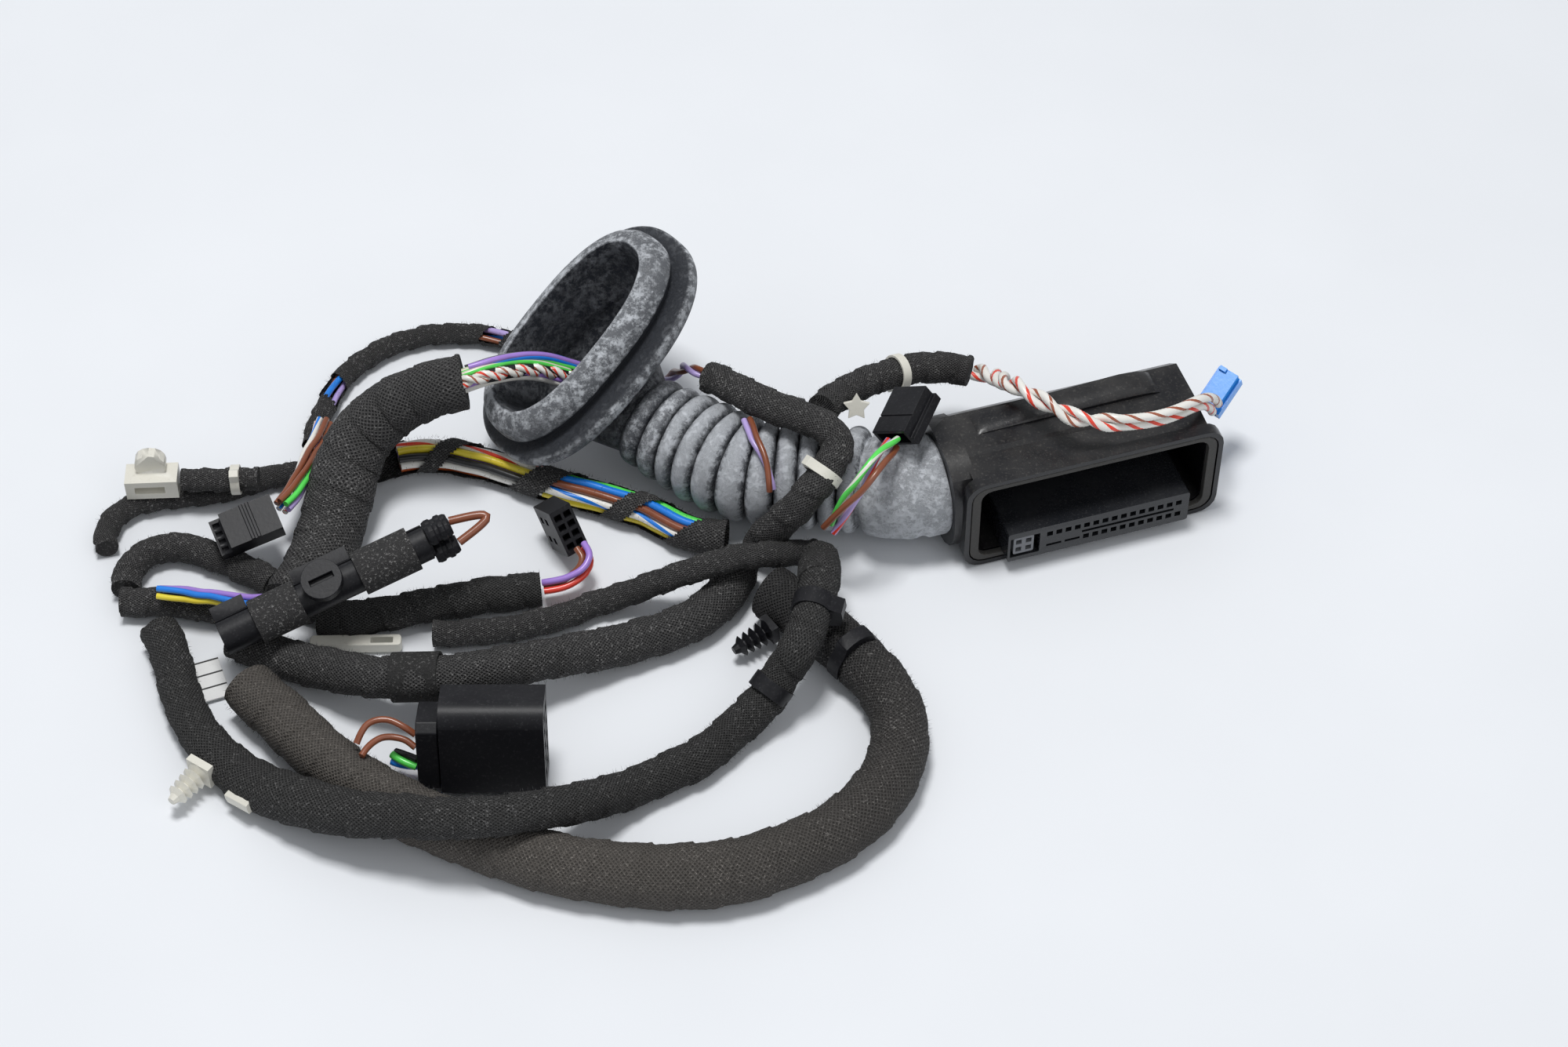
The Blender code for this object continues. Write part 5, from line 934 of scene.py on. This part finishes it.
for index, (look, thick, mouth_shift, neck_shift) in enumerate(MOUTH_WIRES):
    line = []
    for step, point in enumerate(INNER_BUNDLE):
        share = step / (len(INNER_BUNDLE) - 1)
        spread = math.sin(math.pi * min(1.0, share * 1.5)) if share < 0.66 else 0.0
        near = Vector(mouth_shift) * 0.8
        far = Vector(neck_shift) * (0.9 if share < 0.8 else 0.6)
        lift = Vector((0.0, 0.0, 1.0 + index * 0.05)) * spread
        line.append(Vector(point) + near.lerp(far, share) + lift)
    wire(f"mouth_wire_{index + 1}", line, thick, look)
middle = [Vector(point) + MOUTH_TWIST_SHIFT * (1.0 - step / 12.0) for step, point in enumerate(INNER_BUNDLE)]
for index, look in enumerate(("white_red", "white_brown")):
    line = strand(middle, 0.95, index / 2.0, 5.0)
    wire(f"mouth_twist_{index + 1}", line, 1.9, look, dense=True, twist=0.14)
inner_core = sweep("inner_bundle_look", INNER_BUNDLE, lambda distance, angle: 2.4, WIRES["black"],
                   spacing=1.0, segments=16)
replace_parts(inner_core, "inner_bundle")


# The rubber grommet, as in the model but smooth, with rounder rings and small dents

# The mouth's rows, from the flange's underside over the lip to the inside: height above the flange,
# half the long side, half the short side, and the amount of bloom with painted light: a painted highlight on
# the lip, painted shade in the groove and inside
MOUTH_ROWS = (
    (-3.0, FLANGE_LONG - 1.5, FLANGE_SHORT - 1.5, 0.5),
    (-2.2, FLANGE_LONG - 0.4, FLANGE_SHORT - 0.4, 0.8),
    (-1.0, FLANGE_LONG, FLANGE_SHORT, 0.9),
    (0.6, FLANGE_LONG, FLANGE_SHORT, 0.9),
    (FLANGE_DEPTH - 3.3, FLANGE_LONG - 0.3, FLANGE_SHORT - 0.3, 0.7),
    (FLANGE_DEPTH - 3.0, FLANGE_LONG - 0.9, FLANGE_SHORT - 0.9, 0.1),
    (FLANGE_DEPTH - 3.1, GROOVE_LONG + 1.0, GROOVE_SHORT + 1.6, 0.0),
    (FLANGE_DEPTH - 2.6, GROOVE_LONG, GROOVE_SHORT, 0.0),
    (FLANGE_DEPTH - 0.8, GROOVE_LONG, GROOVE_SHORT, 0.0),
    (FLANGE_DEPTH - 0.5, BAND_LONG - 0.4, BAND_SHORT - 0.4, 0.1),
    (FLANGE_DEPTH, BAND_LONG, BAND_SHORT, 0.8),
    (FLANGE_DEPTH + 0.6, BAND_LONG, BAND_SHORT, 0.95),
    (6.8, BAND_LONG - 0.3, BAND_SHORT - 0.3, 0.95),
    (8.6, RIM_LONG + 1.0, RIM_SHORT + 0.9, 0.95),
    (10.0, RIM_LONG - 0.4, RIM_SHORT - 0.5, 0.95),
    (MOUTH_RISE - 0.2, RIM_LONG - 2.2, RIM_SHORT - 2.3, 1.0),
    (MOUTH_RISE, RIM_LONG - MOUTH_WALL + 0.5, RIM_SHORT - MOUTH_WALL + 0.5, 1.3),
    (MOUTH_RISE - 0.3, RIM_LONG - MOUTH_WALL, RIM_SHORT - MOUTH_WALL, 0.4),
    (FLANGE_DEPTH + 2.0, RIM_LONG - MOUTH_WALL - 1.0, RIM_SHORT - MOUTH_WALL, 0.3),
    (FLANGE_DEPTH, RIM_LONG - MOUTH_WALL - 1.5, RIM_SHORT - MOUTH_WALL, 0.25),
)
RINGS_LENGTH = BELLOWS_RINGS * BELLOWS_PITCH
RING_ROWS = 198
INSIDE_EVERY = 18
BOOT_BODY = 13.0
BOOT_LIP = 4.5


def ring_radius(distance):
    """Outer radius of the bellows: round crests with tight folds between them."""
    index = min(BELLOWS_RINGS - 1, int(distance / BELLOWS_PITCH))
    growth = min(1.0, 0.45 + 0.2 * index)
    crest = BELLOWS_ROOT + (BELLOWS_CREST - BELLOWS_ROOT) * growth
    phase = (distance - index * BELLOWS_PITCH) / BELLOWS_PITCH
    root = BELLOWS_ROOT - 0.8
    return root + (crest - root) * max(0.0, math.sin(math.pi * phase)) ** 0.42


def grommet_rows():
    """The bellows and the boot that grips the shell's collar, as rows of points outside and inside."""
    route = smooth_route(bellows_route())
    lengths = lengths_along(route)
    total = lengths[-1]
    face = total - BOOT_INSERTION - SEAT_GAP
    boot_end = face - BOOT_LIP
    boot_start = max(RINGS_LENGTH + 0.8, boot_end - BOOT_BODY)
    steps = [(RINGS_LENGTH * step / RING_ROWS, None) for step in range(RING_ROWS)]
    steps += [
        (RINGS_LENGTH, BELLOWS_ROOT), (boot_start, BELLOWS_ROOT + 0.4), (boot_start + 0.5, 12.7),
        (boot_start + 1.2, 13.4), (boot_start + 2.5, 13.8), (0.5 * (boot_start + boot_end), 13.9),
        (boot_end - 2.0, 13.7), (boot_end - 0.8, 13.4), (boot_end - 0.3, 13.0), (boot_end, 12.9),
        (boot_end + 0.3, 13.0), (boot_end + 0.8, 13.5), (face - 0.9, 13.5), (face - 0.3, 13.3),
        (face, 12.9), (face + 0.2, 12.5), (total, 12.5),
    ]
    side = mouth_axes()[0]
    outside, inside = [], []
    for row, (distance, radius) in enumerate(steps):
        centre, direction = point_at(route, lengths, distance)
        side = (side - direction * side.dot(direction)).normalized()
        other = direction.cross(side)
        size = ring_radius(distance) if radius is None else radius
        rays = [side * math.cos(angle) + other * math.sin(angle) for angle in GROMMET_ANGLES]
        loop = []
        for angle, ray in zip(GROMMET_ANGLES, rays):
            around = Vector((distance / 5.0, math.cos(angle) * 2.0, math.sin(angle) * 2.0))
            loop.append(centre + ray * (size + 0.16 * noise.noise(around)))
        outside.append(loop)
        if row % INSIDE_EVERY == 0 or radius is not None:
            inner = (BELLOWS_ROOT if radius is None else size) - BELLOWS_WALL
            inside.append([centre + ray * inner for ray in rays])
    return outside, inside


def between_rows(rows, parts=6):
    """More rows between given ones, on a smooth curve."""
    made = []
    for index in range(len(rows) - 1):
        before, after = rows[max(index - 1, 0)], rows[min(index + 2, len(rows) - 1)]
        for part in range(parts):
            corners = zip(before, rows[index], rows[index + 1], after)
            made.append([catmull_rom(*four, part / parts) for four in corners])
    return made + [rows[-1]]


def ring_bloom_and_painted_light(step):
    """Bloom amount for a ring's rows, with painted light: more on its crest as a painted highlight, less in
    the folds as painted shade.
    """
    rise = ring_radius(RINGS_LENGTH * step / RING_ROWS) - BELLOWS_ROOT
    return 0.15 + 1.35 * min(1.0, max(0.0, rise / 2.2))


bellows_out, bellows_in = grommet_rows()
mouth = [mouth_loop(*row[:3]) for row in MOUTH_ROWS]
elbow_sides = [elbow_loop(section, 0.0) for section in reversed(ELBOW_SECTIONS)]
elbow_out = between_rows([bellows_out[0], *elbow_sides, mouth[0]])[1:-1]
elbow_in = between_rows([elbow_loop(section, NECK_WALL) for section in ELBOW_SECTIONS] + [bellows_in[0]])[:-1]
# bloom amount for each row, with painted light: high on the boot, crests and lip as painted highlight, lower
# on the elbow and inside as painted shade
row_bloom_and_painted_light = [1.4] * (len(bellows_out) - RING_ROWS) + [ring_bloom_and_painted_light(step) for step in reversed(range(RING_ROWS))]
row_bloom_and_painted_light += [0.45] * len(elbow_out) + [row[3] for row in MOUTH_ROWS]
row_bloom_and_painted_light += [0.3] * len(elbow_in) + [0.1] * len(bellows_in)
grommet_points, grommet_faces = ring_loft(bellows_out[::-1] + elbow_out + mouth + elbow_in + bellows_in)
grommet_uvs = [(value, 0.0) for value in row_bloom_and_painted_light for _ in range(GROMMET_SEGMENTS)]
grommet = mesh_piece("door_grommet_look", grommet_points, grommet_faces, RUBBER,
                     grommet_uvs, 50.0)
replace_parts(grommet, "door_grommet")


# Loose fibres that stand off the fleece

FIBRES_PER_AREA = 1100.0


def fuzz(name, route, diameter, count):
    """Short fibres at random places on a bundle's skin, each a thin spike with three sides."""
    rows = stations(route, 0.7)
    points, faces = [], []
    for _ in range(count):
        centre, direction, side, other = random.choice(rows)[1:]
        angle = random.uniform(0.0, 2.0 * math.pi)
        outward = side * math.cos(angle) + other * math.sin(angle)
        root = centre + outward * (diameter / 2.0 - 0.1)
        around = direction.cross(outward)
        lean = direction * random.uniform(-1.0, 1.0) + around * random.uniform(-1.0, 1.0)
        tip = root + outward * random.uniform(0.5, 1.3) + lean * random.uniform(0.2, 0.9)
        if min(root.z, tip.z) < 0.3:
            continue
        first = len(points)
        for step in range(3):
            turn = 2.0 * math.pi * step / 3.0
            points.append(root + (direction * math.cos(turn) + around * math.sin(turn)) * 0.05)
        points.append(tip)
        faces += [(first, first + 2, first + 1)]
        faces += [(first + step, first + (step + 1) % 3, first + 3) for step in range(3)]
    mesh_piece(name, points, faces, FIBRE)


FUZZY = (
    ("trunk", TRUNK, 13.6), ("wide_bundle", WIDE_BUNDLE, 14.2), ("front_loop", FRONT_LOOP, 9.9),
    ("middle_upper", MIDDLE_UPPER, 6.7), ("four_way_branch", FOUR_WAY_BRANCH, 9.1),
    ("middle_lower", MIDDLE_LOWER, 10.6), ("cross_branch", CROSS_BRANCH, 8.6),
    ("back_branch", BACK_BRANCH, 8.1), ("left_hook", LEFT_HOOK, 6.1), ("left_upper", LEFT_UPPER, 7.6),
    ("half_taped", HALF_TAPED, 9.5), ("back_loop", BACK_LOOP, 5.7),
)
for name, route, diameter in FUZZY:
    fuzz("fibres_" + name, route, diameter, round(length_of(route) * diameter * FIBRES_PER_AREA))


# Moulded parts: the model's own shapes with softened edges

SOFT_EDGE_ANGLE = math.radians(28.0)


def dressed(node, material, bevel):
    """A copy of the model's own mesh with its edges rounded by bevel millimetres, or not where it is 0."""
    mesh = frame["nodes"][node].data.copy()
    shape = bmesh.new()
    shape.from_mesh(mesh)
    bmesh.ops.remove_doubles(shape, verts=shape.verts, dist=2e-6)
    if bevel:
        bmesh.ops.dissolve_limit(shape, angle_limit=math.radians(1.0), verts=shape.verts, edges=shape.edges)
    shape.to_mesh(mesh)
    shape.free()
    mesh.shade_smooth()
    mesh.set_sharp_from_angle(angle=SOFT_EDGE_ANGLE)
    piece = link(node + "_look", mesh, material)
    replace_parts(piece, node)
    if not bevel:
        return
    edge = piece.modifiers.new("soft_edges", "BEVEL")
    edge.width = bevel * MM
    edge.segments = 2
    edge.limit_method = "ANGLE"
    edge.angle_limit = SOFT_EDGE_ANGLE
    edge.harden_normals = True


DRESSED = (
    (HOUSING, "black_plastic", {"connector_shell": 0.3}),
    (SEAL, "seal_rubber", {"mouth_seal": 0.25}),
    (INSERT, "grey_plastic", {"contact_insert": 0.12}),
    (MODULE, "grey_plastic", {"pin_module": 0.12}),
    (BLACK_PART, "black_plastic", {
        "three_way_connector": 0.25, "five_way_connector": 0.0, "four_way_connector": 0.25,
    }),
    (BLUE_PART, "blue_plastic", {"blue_connector": 0.25}),
    (BLACK_PART, "black_plastic", {
        "large_connector": 0.35, "large_connector_cap": 0.3, "splice_holder": 0.15, "disc_clip": 0.2,
        "black_round_clip": 0.2, "black_tab": 0.2, "black_clip_wide": 0.2, "black_fir_clip": 0.12,
    }),
    (CREAM_PART, "cream_plastic", {
        "star_clip": 0.15, "large_white_clip": 0.0, "white_band_left": 0.12, "white_band_back": 0.12,
        "white_band_cross": 0.12, "white_band_front": 0.12, "white_fir_clip": 0.12, "white_slot_clip": 0.25,
    }),
    (LABEL, "label_film", {"label_flag": 0.08}),
    (TAPE_PLAIN, "fleece_tape", {"overlap_tape": 0.15, "junction_tape": 0.15}),
    (TAPE, "fleece_tape", {"holder_wrap_left": 0.15, "holder_wrap_right": 0.15}),
    (BLACK_PART, "grey_plastic", {"splice_plug_1": 0.1, "splice_plug_2": 0.1, "splice_plug_3": 0.1}),
)
for material, slot, bevels in DRESSED:
    for node, bevel in bevels.items():
        dressed(node, material, bevel)
